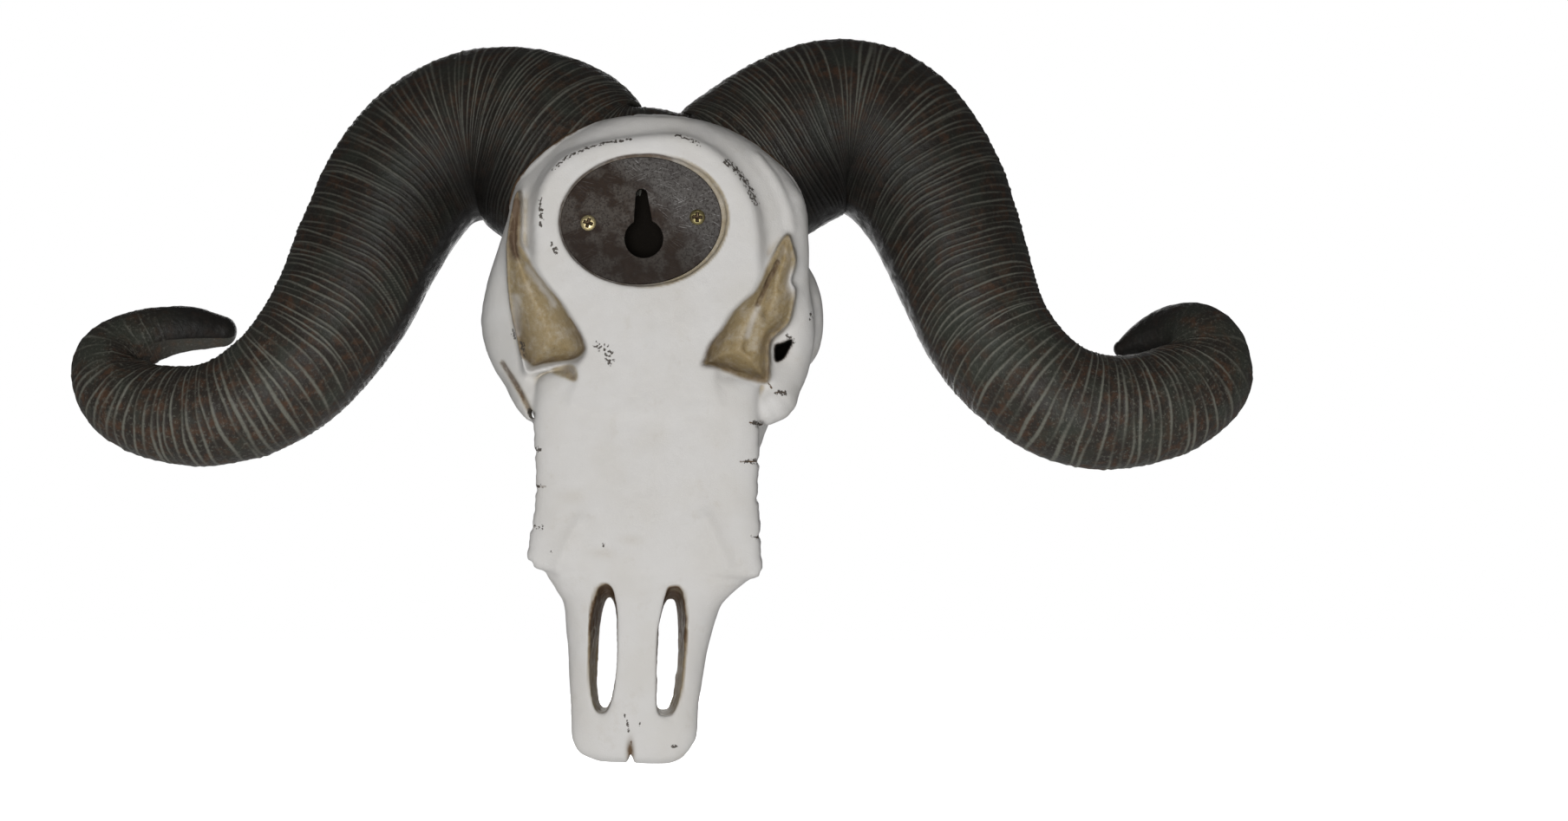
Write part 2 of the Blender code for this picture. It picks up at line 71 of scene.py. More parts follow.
# Skull lofts, from the top down. Each row has its height, its half widths towards +x and -x, the
# depths of its back and front, how much it narrows to the front, and how square it is (2 is round).
FACE = (
    (27, 15.3, 15.3, -30, -55, 0.25, 2.4),
    (19, 26, 26, -24, -62, 0.25, 2.6),
    (8, 32.3, 32.3, -22, -64, 0.25, 2.8),
    (-8, 34, 34, -22, -61, 0.27, 2.8),
    (-22, 31.3, 31.3, -22, -55.5, 0.33, 2.8),
    (-36, 28.6, 28.6, -18, -49, 0.42, 2.8),
    (-44, 27.2, 27.2, -4, -46, 0.46, 3.0),
    (-54, 28.4, 28.6, -2.5, -43, 0.5, 3.2),
    (-62, 28.2, 28.4, -1.8, -40.5, 0.54, 3.2),
    (-72, 27.6, 28.2, -1.5, -37.5, 0.55, 3.2),
    (-82, 27.8, 28.6, -1.4, -34.5, 0.54, 3.2),
    (-90, 28.4, 29.6, -1.2, -31.8, 0.52, 3.0),
    (-94, 28.0, 30.4, -1.0, -30.4, 0.5, 2.8),
    (-96.5, 26.9, 29.6, -1.0, -29.6, 0.48, 2.8),
    (-99, 24.9, 26.8, -1.0, -28.8, 0.45, 2.6),
    (-101.5, 23.2, 24.1, -1.0, -27.8, 0.41, 2.6),
    (-104, 21.4, 22.1, -1.0, -26.8, 0.38, 2.6),
    (-107, 20.7, 20.9, -1.1, -25.6, 0.34, 2.6),
    (-111, 20.2, 19.9, -1.2, -24, 0.31, 2.6),
    (-118, 19.3, 18.5, -1.4, -21.5, 0.28, 2.6),
    (-125, 18.8, 17.5, -1.6, -19, 0.27, 2.6),
    (-132.5, 18.0, 16.8, -1.9, -16.5, 0.25, 2.6),
    (-139.5, 17.5, 16.7, -2.2, -14.4, 0.23, 2.6),
    (-142.5, 16.9, 15.4, -2.5, -13.2, 0.21, 2.5),
    (-145.4, 15.0, 13.3, -3.2, -12, 0.18, 2.4),
    (-147.6, 11.0, 11.0, -4.6, -10.6, 0.12, 2.2),
)
BACK = (
    (30.5, 8, 8, -12.5, -34, 0.0, 2.2),
    (28.5, 17, 17, -6.9, -38, 0.0, 2.3),
    (23, 28, 28, -3.5, -40, 0.0, 2.5),
    (15, 36.5, 37.0, -2.4, -40, 0.0, 2.6),
    (5, 40.5, 42, -2.0, -40, 0.0, 2.6),
    (-5, 38, 41, -1.7, -38, 0.0, 2.7),
    (-14, 31, 36, -1.1, -34, 0.0, 2.8),
    (-22, 25, 30, -0.8, -30, 0.0, 3.0),
    (-30, 19, 22, -0.7, -28, 0.0, 3.2),
    (-37, 17, 18, -0.7, -28, 0.0, 3.2),
    (-42, 27, 28, -0.7, -28, 0.0, 3.2),
    (-47, 27, 27, -0.7, -28, 0.0, 3.4),
    (-54, 27, 27, -0.7, -28, 0.0, 3.4),
)
PALATE = (
    (-40.8, 22, 26, -2.2, -12, 0.0, 3.4),
    (-43.5, 29.0, 30.2, -0.9, -15, 0.0, 4.0),
    (-48, 30.7, 30.6, -0.5, -17, 0.0, 4.6),
    (-56, 31.0, 31.0, -0.4, -17, 0.0, 4.8),
    (-64, 30.2, 31.2, -0.4, -17, 0.0, 4.8),
    (-72, 29.6, 31.1, -0.4, -16.5, 0.0, 4.8),
    (-80, 29.8, 32.0, -0.4, -16, 0.0, 4.8),
    (-87, 30.7, 32.4, -0.4, -15, 0.0, 4.6),
    (-92, 31.3, 33.1, -0.6, -14, 0.0, 4.2),
    (-95.0, 29.6, 33.0, -1.2, -12, 0.0, 3.4),
    (-96.6, 26.0, 30.6, -2.2, -11, 0.0, 2.8),
)
NASAL_BONE = (
    (-22, 6.0, 6.0, -42, -55.5, 0.25, 2.4),
    (-34, 7.6, 7.6, -36, -52.2, 0.25, 2.4),
    (-48, 7.8, 7.8, -32, -47.8, 0.25, 2.4),
    (-64, 7.4, 7.4, -28, -42.6, 0.25, 2.4),
    (-80, 6.8, 6.8, -26, -38.0, 0.25, 2.4),
    (-90, 6.0, 6.0, -24, -34.6, 0.2, 2.4),
    (-98, 4.6, 4.6, -23, -31.4, 0.2, 2.4),
    (-104, 3.2, 3.2, -22, -28.8, 0.2, 2.3),
    (-109, 2.0, 2.0, -21.6, -26.6, 0.15, 2.2),
    (-111.5, 1.0, 1.0, -21.6, -24.6, 0.1, 2.0),
)
NASAL_SPREAD = 3.9  # each nasal bone's middle stands this far from the midline

# Cheek arches and what runs on below them: points down each one, with its radius there. The last two
# are for both sides.
CHEEK_LEFT = (
    (34.6, -15, 7, 4.0),
    (36.6, -14, -4, 5.2),
    (38.0, -14, -11, 5.7),
    (39.7, -15, -17, 5.9),
    (41.2, -15, -28, 6.1),
    (38.7, -14, -36.5, 6.2),
    (34.6, -12, -43, 5.9),
    (31.5, -10, -48.5, 5.7),
    (27.0, -9, -54, 5.0),
)
CHEEK_RIGHT = (
    (-36.2, -15, 7, 4.2),
    (-36.9, -14, -4, 5.6),
    (-37.2, -14, -11, 5.7),
    (-38.0, -15, -17, 5.5),
    (-39.2, -15, -28, 6.0),
    (-37.6, -14, -38, 6.2),
    (-35.7, -12, -43, 6.2),
    (-34.2, -10, -47.7, 5.8),
    (-27.2, -9, -51.4, 4.4),
)
LOWER_CHEEK = (
    (38.0, -28, -32, 6.0),
    (32.5, -27, -42, 5.4),
    (26.8, -25, -53, 3.8),
    (24.0, -22, -62, 2.4),
)
JAW_CREST = (
    (32.6, -29, -42, 3.0),
    (28.4, -25, -56, 2.8),
    (26.4, -22, -68, 2.5),
    (25.2, -19.5, -80, 1.2),
)

# Eye sockets.
ORBIT = np.array((37.9, -35.0, -22.0))
ORBIT_AXIS = np.array((0.896, -0.428, 0.122))
ORBIT_MOUND = (15.0, 11.0)  # its radius and half length
ORBIT_MOUND_SINK = 5.0
ORBIT_RING = 12.3
ORBIT_TUBE = 4.0
SOCKET_RADIUS = 10.8
SOCKET_DEPTH = 15.0
SOCKET_LIFT = 5.0

# Hanger plate: an oval with a keyhole, turned a little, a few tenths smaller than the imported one.
PLATE_TURN = math.radians(3.0)
PLATE_HALF = (21.7, 17.2)
PLATE_MIDDLE = (0.5, -0.15)
PLATE_BACK = -0.8
PLATE_THICKNESS = 1.2
PLATE_EDGE = 0.16  # radius of the plate's rounded edges
RECESS_HALF = (22.55, 17.75)
RECESS_LOW = (-30.0, -14.0, -25.0)  # a box with room for the recess and its pocket
RECESS_HIGH = (30.0, 3.0, 25.0)
KEYHOLE_Z = -5.0
KEYHOLE_RADIUS = 5.15
KEYHOLE_TOP = 8.4
KEYHOLE_HALF_WIDTHS = (2.4, 1.5)
POCKET_HALF_WIDTH = 7.0
POCKET_SPAN = (-12.0, 13.0)
POCKET_DEPTH = 10.0
SCREW_X = 14.75
SCREW_HOLE_RADIUS = 1.4
SCREW_RADIUS = 2.1
SCREW_SIDES = 72
HEAD_HEIGHT = 0.75
HEAD_FOOT = -0.6  # the foot of a screw's head, inside the plate
CROSS_DEPTH = 0.62
CROSS_ARM = 1.3
CROSS_HALF_WIDTH = 0.38

# Horn centre lines: x, y, z in the world and the radius there.
HORN_LEFT = (
    (-8.0, -37, 9.0, 20.0),
    (-2.2, -35.5, 11.7, 23.1),
    (13, -34.5, 11.3, 25.5),
    (29, -42, 23.0, 28.0),
    (48, -47, 29.2, 25.5),
    (65.7, -46, 22.6, 22.9),
    (76.9, -42, 6.6, 21.4),
    (90.7, -35, -24.6, 19.0),
    (104.4, -28, -43.4, 16.8),
    (124.5, -27, -52.7, 14.6),
    (147.3, -31, -49.6, 12.6),
    (156.6, -38, -37.2, 10.3),
    (148.0, -43.5, -29.7, 8.1),
    (139.0, -46.5, -27.6, 6.9),
    (131.8, -48.5, -27.6, 5.8),
    (127.1, -49.5, -28.1, 4.5),
)
HORN_RIGHT = (
    (3.0, -37, 9.0, 20.0),
    (-2.8, -35.5, 11.6, 22.7),
    (-15.5, -34.5, 9.8, 23.3),
    (-27, -41.5, 18.2, 24.9),
    (-49, -47, 30.9, 25.5),
    (-67.2, -47, 28.2, 24.8),
    (-82.0, -42, 9.4, 21.8),
    (-95.5, -35, -27, 18.2),
    (-110, -28, -45, 16.7),
    (-126.5, -27, -52, 16.2),
    (-146.5, -31, -49.4, 15.4),
    (-158.8, -38, -41.2, 14.4),
    (-157.4, -44, -31.4, 12.5),
    (-150.5, -47.5, -29.0, 8.4),
    (-144.3, -48.5, -30.4, 6.0),
    (-139.8, -49, -32.3, 4.0),
    (-137.2, -49.2, -33.4, 2.4),
)
HORN_ROW = 0.2
HORN_SIDES = 150
ROOT_POINTS = 5  # the points of a horn's line that lie near the skull


# ---------------------------------------------------------------- numbers


def own(x, z):
    """A world X and Z on the skull's own axes."""
    across = (x - MIDLINE_X) * math.cos(LEAN) - z * math.sin(LEAN)
    up = (x - MIDLINE_X) * math.sin(LEAN) + z * math.cos(LEAN)
    return across, up


def own_points(pairs):
    """World (X, Z) pairs on the skull's own axes."""
    return [own(x, z) for x, z in pairs]


def to_world(points):
    """Points on the skull's own axes, in the world."""
    world = points.copy()
    world[:, 0] = MIDLINE_X + points[:, 0] * math.cos(LEAN) + points[:, 2] * math.sin(LEAN)
    world[:, 2] = -points[:, 0] * math.sin(LEAN) + points[:, 2] * math.cos(LEAN)
    return world


def smooth_step(low, high, value):
    """0 at low and 1 at high with an even bend between; low may be the larger one."""
    t = np.clip((value - low) / (high - low), 0.0, 1.0)
    return t * t * (3 - 2 * t)


def smooth_min(a, b, blend):
    """The smaller of two values, rounded off where they differ by less than the blend."""
    near = np.maximum(blend - np.abs(a - b), 0.0)
    return np.minimum(a, b) - near * near * (0.25 / blend)


def smooth_max(a, b, blend):
    """The larger of two values, rounded off in the same way."""
    return -smooth_min(-a, -b, blend)


def spline(rows, steps, closed=False):
    """Rows of numbers made dense along a smooth (Catmull-Rom) curve through them."""
    rows = np.array(rows, float)
    if closed:
        rows = np.concatenate([rows[-1:], rows, rows[:2]])
    else:
        rows = np.concatenate([2 * rows[:1] - rows[1:2], rows, 2 * rows[-1:] - rows[-2:-1]])
    before, start, end, after = rows[:-3], rows[1:-2], rows[2:-1], rows[3:]
    t = (np.arange(steps) / steps)[None, :, None]
    before, start, end, after = (part[:, None, :] for part in (before, start, end, after))
    slope = (end - before) / 2
    bend = before - 2.5 * start + 2 * end - after / 2
    twist = (3 * start - before - 3 * end + after) / 2
    dense = (start + slope * t + bend * t**2 + twist * t**3).reshape(-1, rows.shape[1])
    return dense if closed else np.concatenate([dense, rows[-2:-1]])


def mix_corners(values, base, t):
    """Grid values mixed between the eight grid points round each place, t of the way from its base."""
    total = np.zeros(len(base))
    for corner in np.ndindex(2, 2, 2):
        weight = np.prod(np.where(corner, t, 1 - t), axis=1)
        total += weight * values[tuple((base + corner).T)]
    return total


def lattice_noise(points, cell, seed):
    """Smooth noise from -1 to 1 at points, with features about one cell across."""
    size = 32
    table = np.random.default_rng(seed).uniform(-1, 1, (size, size, size)).astype(np.float32)
    scaled = points / cell
    base = np.floor(scaled).astype(np.int64)
    return mix_corners(np.pad(table, (0, 1), mode="wrap"), base % size, smooth_step(0, 1, scaled - base))


def line_distance(lines, x, z):
    """How far each (x, z) lies from the nearest of several open lines."""
    nearest = np.full(np.broadcast(x, z).shape, FAR)
    for line in lines:
        for (ax, az), (bx, bz) in zip(line, line[1:]):
            dx = bx - ax
            dz = bz - az
            along = ((x - ax) * dx + (z - az) * dz) / max(dx * dx + dz * dz, 1e-9)
            along = np.clip(along, 0.0, 1.0)
            reach = np.hypot(x - ax - along * dx, z - az - along * dz)
            nearest = np.minimum(nearest, reach)
    return nearest


def outline_distance(outline, x, z):
    """Signed distance from each (x, z) to a smooth closed outline, negative inside."""
    points = spline(outline, 4, closed=True)
    following = np.roll(points, -1, axis=0)
    inside = np.zeros(np.broadcast(x, z).shape, bool)
    for (ax, az), (bx, bz) in zip(points, following):
        spans = (az > z) != (bz > z)
        crossing = ax + (z - az) * (bx - ax) / (bz - az if bz != az else 1e-9)
        inside ^= spans & (x < crossing)
    closed = np.concatenate([points, points[:1]])
    reach = line_distance([closed], x, z)
    return np.where(inside, -reach, reach)


# ---------------------------------------------------------------- shapes
# A shape is a distance function of x, y and z, with its lowest and highest corner.


def ellipsoid(centre, half):
    """An ellipsoid along the axes, from its half sizes."""

    def distance(x, y, z):
        qx = (x - centre[0]) / half[0]
        qy = (y - centre[1]) / half[1]
        qz = (z - centre[2]) / half[2]
        near = np.sqrt(qx * qx + qy * qy + qz * qz)
        slope = np.sqrt((qx / half[0]) ** 2 + (qy / half[1]) ** 2 + (qz / half[2]) ** 2)
        return near * (near - 1) / np.maximum(slope, 1e-6)

    return distance, np.subtract(centre, half), np.add(centre, half)


def bar(start, end, start_radius, end_radius):
    """A tapered round bar with round ends."""
    start = np.array(start, float)
    along = np.array(end, float) - start

    def distance(x, y, z):
        px, py, pz = x - start[0], y - start[1], z - start[2]
        t = (px * along[0] + py * along[1] + pz * along[2]) / max(along @ along, 1e-9)
        t = np.clip(t, 0.0, 1.0)
        reach = np.sqrt((px - t * along[0]) ** 2 + (py - t * along[1]) ** 2 + (pz - t * along[2]) ** 2)
        return reach - (start_radius + (end_radius - start_radius) * t)

    reach = max(start_radius, end_radius)
    ends = np.array([start, start + along])
    return distance, ends.min(axis=0) - reach, ends.max(axis=0) + reach


def rod(rows, steps=3):
    """A smooth round rod through rows of x, y, z and radius."""
    dense = spline(rows, steps)
    parts = [bar(a[:3], b[:3], a[3], b[3]) for a, b in zip(dense, dense[1:])]

    def distance(x, y, z):
        return reduce(np.minimum, (part(x, y, z) for part, _, _ in parts))

    return distance, np.min([p[1] for p in parts], axis=0), np.max([p[2] for p in parts], axis=0)


def round_an_axis(centre, axis, x, y, z):
    """How far each point lies along an axis through a centre, and how far out from it."""
    px, py, pz = x - centre[0], y - centre[1], z - centre[2]
    lift = px * axis[0] + py * axis[1] + pz * axis[2]
    return lift, np.sqrt(np.maximum(px * px + py * py + pz * pz - lift * lift, 0.0))


def ring(centre, axis, radius, tube):
    """A torus."""
    axis = np.array(axis) / np.linalg.norm(axis)

    def distance(x, y, z):
        lift, out = round_an_axis(centre, axis, x, y, z)
        return np.hypot(out - radius, lift) - tube

    reach = radius + tube
    return distance, np.subtract(centre, reach), np.add(centre, reach)


def egg(centre, axis, radius, half_length):
    """An ellipsoid of revolution about an axis."""
    axis = np.array(axis) / np.linalg.norm(axis)

    def distance(x, y, z):
        lift, out = round_an_axis(centre, axis, x, y, z)
        near = np.hypot(out / radius, lift / half_length)
        slope = np.hypot(out / radius**2, lift / half_length**2)
        return near * (near - 1) / np.maximum(slope, 1e-6)

    reach = max(radius, half_length)
    return distance, np.subtract(centre, reach), np.add(centre, reach)


def loft(rows, middle_x=0.0):
    """A body whose level sections run from round to square; each row's half widths are its widest."""
    rounding = 2.5
    dense = spline(rows, 6)[::-1]
    heights = dense[:, 0]
    forward = np.linspace(-1, 0.5, 60)[:, None]
    span = (1 - np.abs(forward) ** dense[:, 6]) ** (1 / dense[:, 6])
    dense[:, 1:3] /= (span * (1 - dense[:, 5] * (forward + 1) / 2)).max(axis=0)[:, None]

    def distance(x, y, z):
        x = x - middle_x
        left, right, back, front, narrowing, squareness = (
            np.interp(z, heights, dense[:, column]).astype(np.float32) for column in range(1, 7)
        )
        half_depth = (back - front) / 2
        forward = ((back + front) / 2 - y) / half_depth
        width = np.where(x > 0, left, right)
        width = width * (1 - narrowing * (np.clip(forward, -1, 1) + 1) / 2)
        near = (np.abs(x / width) ** squareness + np.abs(forward) ** squareness) ** (1 / squareness)
        flat = np.hypot(x, y - (back + front) / 2) * (1 - 1 / np.maximum(near, 1e-3))
        ends = np.maximum(heights[0] - z, z - heights[-1])
        return smooth_max(flat, ends + 0 * flat, rounding)

    widest = dense[:, 1:3].max()
    low = (middle_x - widest, dense[:, 4].min(), heights[0])
    high = (middle_x + widest, dense[:, 3].max(), heights[-1])
    return distance, np.array(low), np.array(high)


def outline_box(outline, front, back):
    """The box round an outline between two depths, with a little room round the outline."""
    low = np.min(outline, axis=0) - 1
    high = np.max(outline, axis=0) + 1
    return np.array((low[0], front, low[1])), np.array((high[0], back, high[1]))


def slab(outline, back, front, slope=0.0, edge=1.0):
    """An outline of (x, z) pairs between two depths; with a slope its walls lean inwards."""
    steep = math.hypot(1, slope)

    def distance(x, y, z):
        across = outline_distance(outline, x, z).astype(np.float32)
        wall = (across + slope * (back - y)) / steep
        return smooth_max(wall, np.maximum(y - back, front - y) + 0 * wall, edge)

    return distance, *outline_box(outline, front, back)


def bowl(outline, depth, reach):
    """A smooth hollow under an outline: steep at its edge and nearly flat in the middle."""
    steep = math.hypot(1, 0.7 * depth / reach)

    def distance(x, y, z):
        across = outline_distance(outline, x, z).astype(np.float32)
        floor = -depth * (1 - np.exp(np.minimum(across, 0) / reach))
        return np.maximum(across, (floor - y) / steep)

    return distance, *outline_box(outline, -depth, 3)


def mirrored_box(low, high):
    """A box moved to the other side of the midline."""
    return np.array((-high[0], low[1], low[2])), np.array((-low[0], high[1], high[2]))


def other_side(shape):
    """The same shape on the other side of the midline."""
    distance, low, high = shape
    return (lambda x, y, z: distance(-x, y, z)), *mirrored_box(low, high)


class Resin:
    """A signed distance to the skull's surface on an even grid, negative inside.

    Shapes are joined to it or carved out of it, and blend says how wide the soft edge between is.
    """

    def __init__(self):
        self.low = np.array(GRID_LOW)
        self.axes = [
            np.arange(low, high + GRID_STEP / 2, GRID_STEP, dtype=np.float32)
            for low, high in zip(GRID_LOW, GRID_HIGH)
        ]
        self.depth = np.full([len(axis) for axis in self.axes], FAR, np.float32)

    def window(self, low, high, margin):
        """The part of the grid round a box: its slices and its x, y and z."""
        cut = []
        for axis, lowest, highest in zip(self.axes, low, high):
            first, last = np.searchsorted(axis, (lowest - margin, highest + margin))
            cut.append(slice(int(first), int(last)))
        x, y, z = (axis[part] for axis, part in zip(self.axes, cut))
        return tuple(cut), (x[:, None, None], y[None, :, None], z[None, None, :])

    def join(self, shape, blend):
        distance, low, high = shape
        cut, places = self.window(low, high, blend + 3)
        self.depth[cut] = smooth_min(self.depth[cut], distance(*places).astype(np.float32), blend)

    def carve(self, shape, blend):
        distance, low, high = shape
        cut, places = self.window(low, high, blend + 3)
        self.depth[cut] = smooth_max(self.depth[cut], -distance(*places).astype(np.float32), blend)

    def join_both(self, shape, blend):
        self.join(shape, blend)
        self.join(other_side(shape), blend)

    def carve_both(self, shape, blend):
        self.carve(shape, blend)
        self.carve(other_side(shape), blend)

    def skin(self, x, z, front=False):
        """The depth y of the surface at x and z, as seen from the back or from the front."""
        across = int(round((x - self.low[0]) / GRID_STEP))
        up = int(round((z - self.low[2]) / GRID_STEP))
        line = self.depth[across, :, up]
        solid = np.nonzero(line < 0)[0]
        if not len(solid):
            return -20.0  # no resin here: about the middle of the head
        step = -1 if front else 1
        at = solid[0] if front else solid[-1]
        inner, outer = line[at], line[at + step]
        return float(self.axes[1][at] + step * GRID_STEP * inner / (inner - outer))

    def strand(self, pairs, radius, sink, front=False):
        """A rod that follows the surface under (x, z) pairs, with its middle sunk below the surface."""
        inward = sink if front else -sink
        return rod([(x, self.skin(x, z, front) + inward, z, radius) for x, z in spline(pairs, 6)], 1)


def blur(values, reach):
    """Values averaged over a cube that reaches this many cells each way."""
    for axis in range(3):
        pad = [(0, 0)] * 3
        pad[axis] = (reach + 1, reach)
        total = np.cumsum(np.pad(values, pad, mode="edge"), axis=axis, dtype=np.float64)
        size = values.shape[axis]
        upper = np.take(total, range(2 * reach + 1, 2 * reach + 1 + size), axis=axis)
        lower = np.take(total, range(0, size), axis=axis)
        values = ((upper - lower) / (2 * reach + 1)).astype(np.float32)
    return values


def sample(values, low, points):
    """Grid values between the grid's points, at any points."""
    scaled = (points - low) / GRID_STEP
    base = np.clip(np.floor(scaled).astype(np.int64), 0, np.array(values.shape) - 2)
    return mix_corners(values, base, np.clip(scaled - base, 0.0, 1.0))


def gradient(values, low, points):
    """The slope of grid values at any points."""
    slopes = []
    for step in GRID_STEP * np.eye(3):
        slopes.append(sample(values, low, points + step) - sample(values, low, points - step))
    return np.stack(slopes, axis=1) / (2 * GRID_STEP)


def cell_points(field, cells):
    """The middle of the places where the surface crosses the edges of each cell."""
    corners = list(np.ndindex(2, 2, 2))
    values = {corner: field[tuple((cells + corner).T)] for corner in corners}
    total = np.zeros((len(cells), 3))
    hits = np.zeros(len(cells))
    for corner in corners:
        for axis in range(3):
            if corner[axis]:
                continue
            end = tuple(1 if n == axis else c for n, c in enumerate(corner))
            a, b = values[corner], values[end]
            crosses = (a < 0) != (b < 0)
            t = np.where(crosses, a / np.where(crosses, a - b, 1), 0)
            point = np.array(corner, float) + t[:, None] * np.eye(3)[axis]
            total += np.where(crosses[:, None], point, 0)
            hits += crosses
    return cells + total / hits[:, None]


def crossing_faces(inside, number, axis):
    """A face for each grid edge along an axis that the surface crosses, from the cells round it."""
    first = [slice(1, -1)] * 3
    second = [slice(1, -1)] * 3
    first[axis] = slice(0, -1)
    second[axis] = slice(1, None)
    lower, upper = inside[tuple(first)], inside[tuple(second)]
    u, v = (axis + 1) % 3, (axis + 2) % 3
    faces = []
    for facing, crossing in ((1, lower & ~upper), (-1, ~lower & upper)):
        at = np.argwhere(crossing)
        at[:, [u, v]] += 1
        loop = []
        for du, dv in ((-1, -1), (0, -1), (0, 0), (-1, 0))[::facing]:
            cell = at.copy()
            cell[:, u] += du
            cell[:, v] += dv
            loop.append(number[tuple(cell.T)])
        faces.append(np.stack(loop, axis=1))
    return np.concatenate(faces)


def surface_net(field):
    """The zero surface of a field as points, in cells, and four-sided faces."""
    inside = field < 0
    size = np.array(field.shape) - 1
    count = np.zeros(size, np.int8)
    for corner in np.ndindex(2, 2, 2):
        count += inside[tuple(slice(c, c + n) for c, n in zip(corner, size))]
    mixed = (count > 0) & (count < 8)
    cells = np.argwhere(mixed)
    number = np.full(mixed.shape, -1, np.int64)
    number[mixed] = np.arange(len(cells))
    faces = [crossing_faces(inside, number, axis) for axis in range(3)]
    return cell_points(field, cells), np.concatenate(faces)


# ---------------------------------------------------------------- objects


def add_object(name, data):
    """A new object in the scene."""
    obj = bpy.data.objects.new(name, data)
    bpy.context.scene.collection.objects.link(obj)
    return obj


def tube_faces(rows, sides, flipped=False):
    """Faces of a tube made of rings, closed at each end by a fan to one of two points after them."""
    index = np.arange(rows * sides).reshape(rows, sides)
    wrapped = np.roll(index, -1, axis=1)
    quads = np.stack([index[:-1], wrapped[:-1], wrapped[1:], index[1:]], axis=-1).reshape(-1, 4)
    first = np.full(sides, rows * sides)
    start = np.stack([wrapped[0], index[0], first], axis=1)
    end = np.stack([index[-1], wrapped[-1], first + 1], axis=1)
    fans = np.concatenate([start, end])
    return [quads[:, ::-1], fans[:, ::-1]] if flipped else [quads, fans]


def mesh_object(name, points, face_sets, attributes):
    """A smooth-shaded object from points in mm, arrays of faces, and values for each point."""
    mesh = bpy.data.meshes.new(name)
    loops = np.concatenate([faces.ravel() for faces in face_sets])
    sizes = np.concatenate([np.full(len(faces), faces.shape[1]) for faces in face_sets])
    starts = np.concatenate([[0], np.cumsum(sizes)[:-1]])
    mesh.vertices.add(len(points))
    mesh.loops.add(len(loops))
    mesh.polygons.add(len(sizes))
    mesh.vertices.foreach_set("co", (points * MM).astype(np.float32).ravel())
    mesh.loops.foreach_set("vertex_index", loops.astype(np.int32))
    mesh.polygons.foreach_set("loop_start", starts.astype(np.int32))
    mesh.update(calc_edges=True)
    mesh.shade_smooth()
    for label, values in attributes.items():
        layer = mesh.attributes.new(label, "FLOAT", "POINT")
        layer.data.foreach_set("value", np.ascontiguousarray(values, np.float32))
    return add_object(name, mesh)


def settle(obj, material, node):
    """Finishes a piece: its material, its body and the node it stands for."""
    obj.data.materials.append(material)
    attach(obj, "root")
    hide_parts(node)


# ---------------------------------------------------------------- the skull's shape

# Outlines and lines seen from the back, given in world X and Z and kept on the skull's own axes.
PLATEAU = own_points((
    (23.7, 14.3), (20.2, 17.1), (15.5, 19.2), (9.7, 20.8), (2.6, 22.0), (-9.1, 22.6),
    (-16.5, 20.0), (-22.6, 15.4), (-28.7, 6.1), (-30.6, -1.2), (-31.2, -8.9), (-31.0, -16.5),
    (-26.5, -26.0), (-20.5, -34.0), (-19.5, -42.0), (-19.0, -52.0), (18.0, -52.0), (18.0, -42.0),
    (18.0, -35.0), (20.5, -27.6), (25.0, -21.0), (28.4, -14.5), (29.0, -6.0), (28.8, 2.0),
    (27.0, 9.1),
))
PIT_LEFT = own_points((
    (34.6, 8.4), (36.9, -1.4), (37.4, -7.7), (37.2, -16.1), (36.6, -22.3), (35.5, -27.8),
    (34.4, -32.8), (33.5, -37.0), (31.8, -41.6), (27.0, -40.8), (22.8, -39.9), (18.6, -39.1),
    (16.1, -37.0), (15.3, -34.5), (16.6, -30.7), (18.7, -26.9), (22.0, -21.9), (25.7, -17.3),
    (29.1, -13.1), (31.6, -9.4), (33.3, -6.0), (33.3, -1.4), (33.4, 5.4),
))
PIT_RIGHT = own_points((
    (-39.6, -3.6), (-41.3, -9.4), (-41.1, -12.7), (-40.2, -16.1), (-41.3, -18.6), (-40.8, -22.8),
    (-39.8, -27.0), (-37.5, -29.9), (-35.0, -32.0), (-34.1, -34.9), (-34.3, -39.1), (-33.6, -43.7),
    (-28.2, -42.9), (-23.7, -41.3), (-19.5, -39.9), (-15.9, -39.3), (-16.5, -37.0), (-17.8, -33.7),
    (-21.2, -29.0), (-23.7, -24.9), (-27.0, -21.5), (-30.2, -18.8), (-32.9, -13.8), (-35.0, -9.4),
    (-37.2, -5.2),
))
HOLE_RIGHT = own_points((
    (-35.8, -35.9), (-36.0, -33.6), (-37.6, -33.2), (-40.2, -32.2), (-39.0, -34.9), (-37.7, -36.9),
    (-36.1, -37.7),
))
CORNER_HOLLOW = own_points(((24.6, -40.6), (20.4, -39.4), (18.5, -40.2), (18.3, -43.0), (21.0, -42.2)))
STRIP_RIGHT = own_points(((-30.5, 17.5), (-35.0, 11.5), (-38.2, 4.8), (-39.6, -1.0)))
TOOTH_RIDGE_RIGHT = own_points(((-16.8, -80.5), (-19.6, -86.2), (-22.4, -93.4)))
TOOTH_RIDGE_LEFT = own_points(((16.9, -81.4), (20.2, -87.3), (22.8, -93.5)))
GROOVE_LEFT = own_points(((39.0, -38.4), (35.4, -43.6), (33.1, -47.1), (30.8, -52.0)))
GROOVE_RIGHT = own_points(((-30.8, -22.5), (-32.5, -19.2), (-34.4, -15.0), (-36.4, -11.0)))
CHIN_NOTCH = own_points(((3.5, -144.6), (3.0, -146.0), (2.4, -150.0), (5.0, -150.0), (4.2, -146.0)))
PIT_DEPTH = 12.0
PIT_REACH = 3.4
PIT_LEDGE = 2.6  # a bare sloping rim along the bottom of the left pit
TOOTH_TOP = -53.7
TOOTH_PITCH = 10.15
TOOTH_COUNT = 5
RIGHT_TOOTH_DROP = 0.4
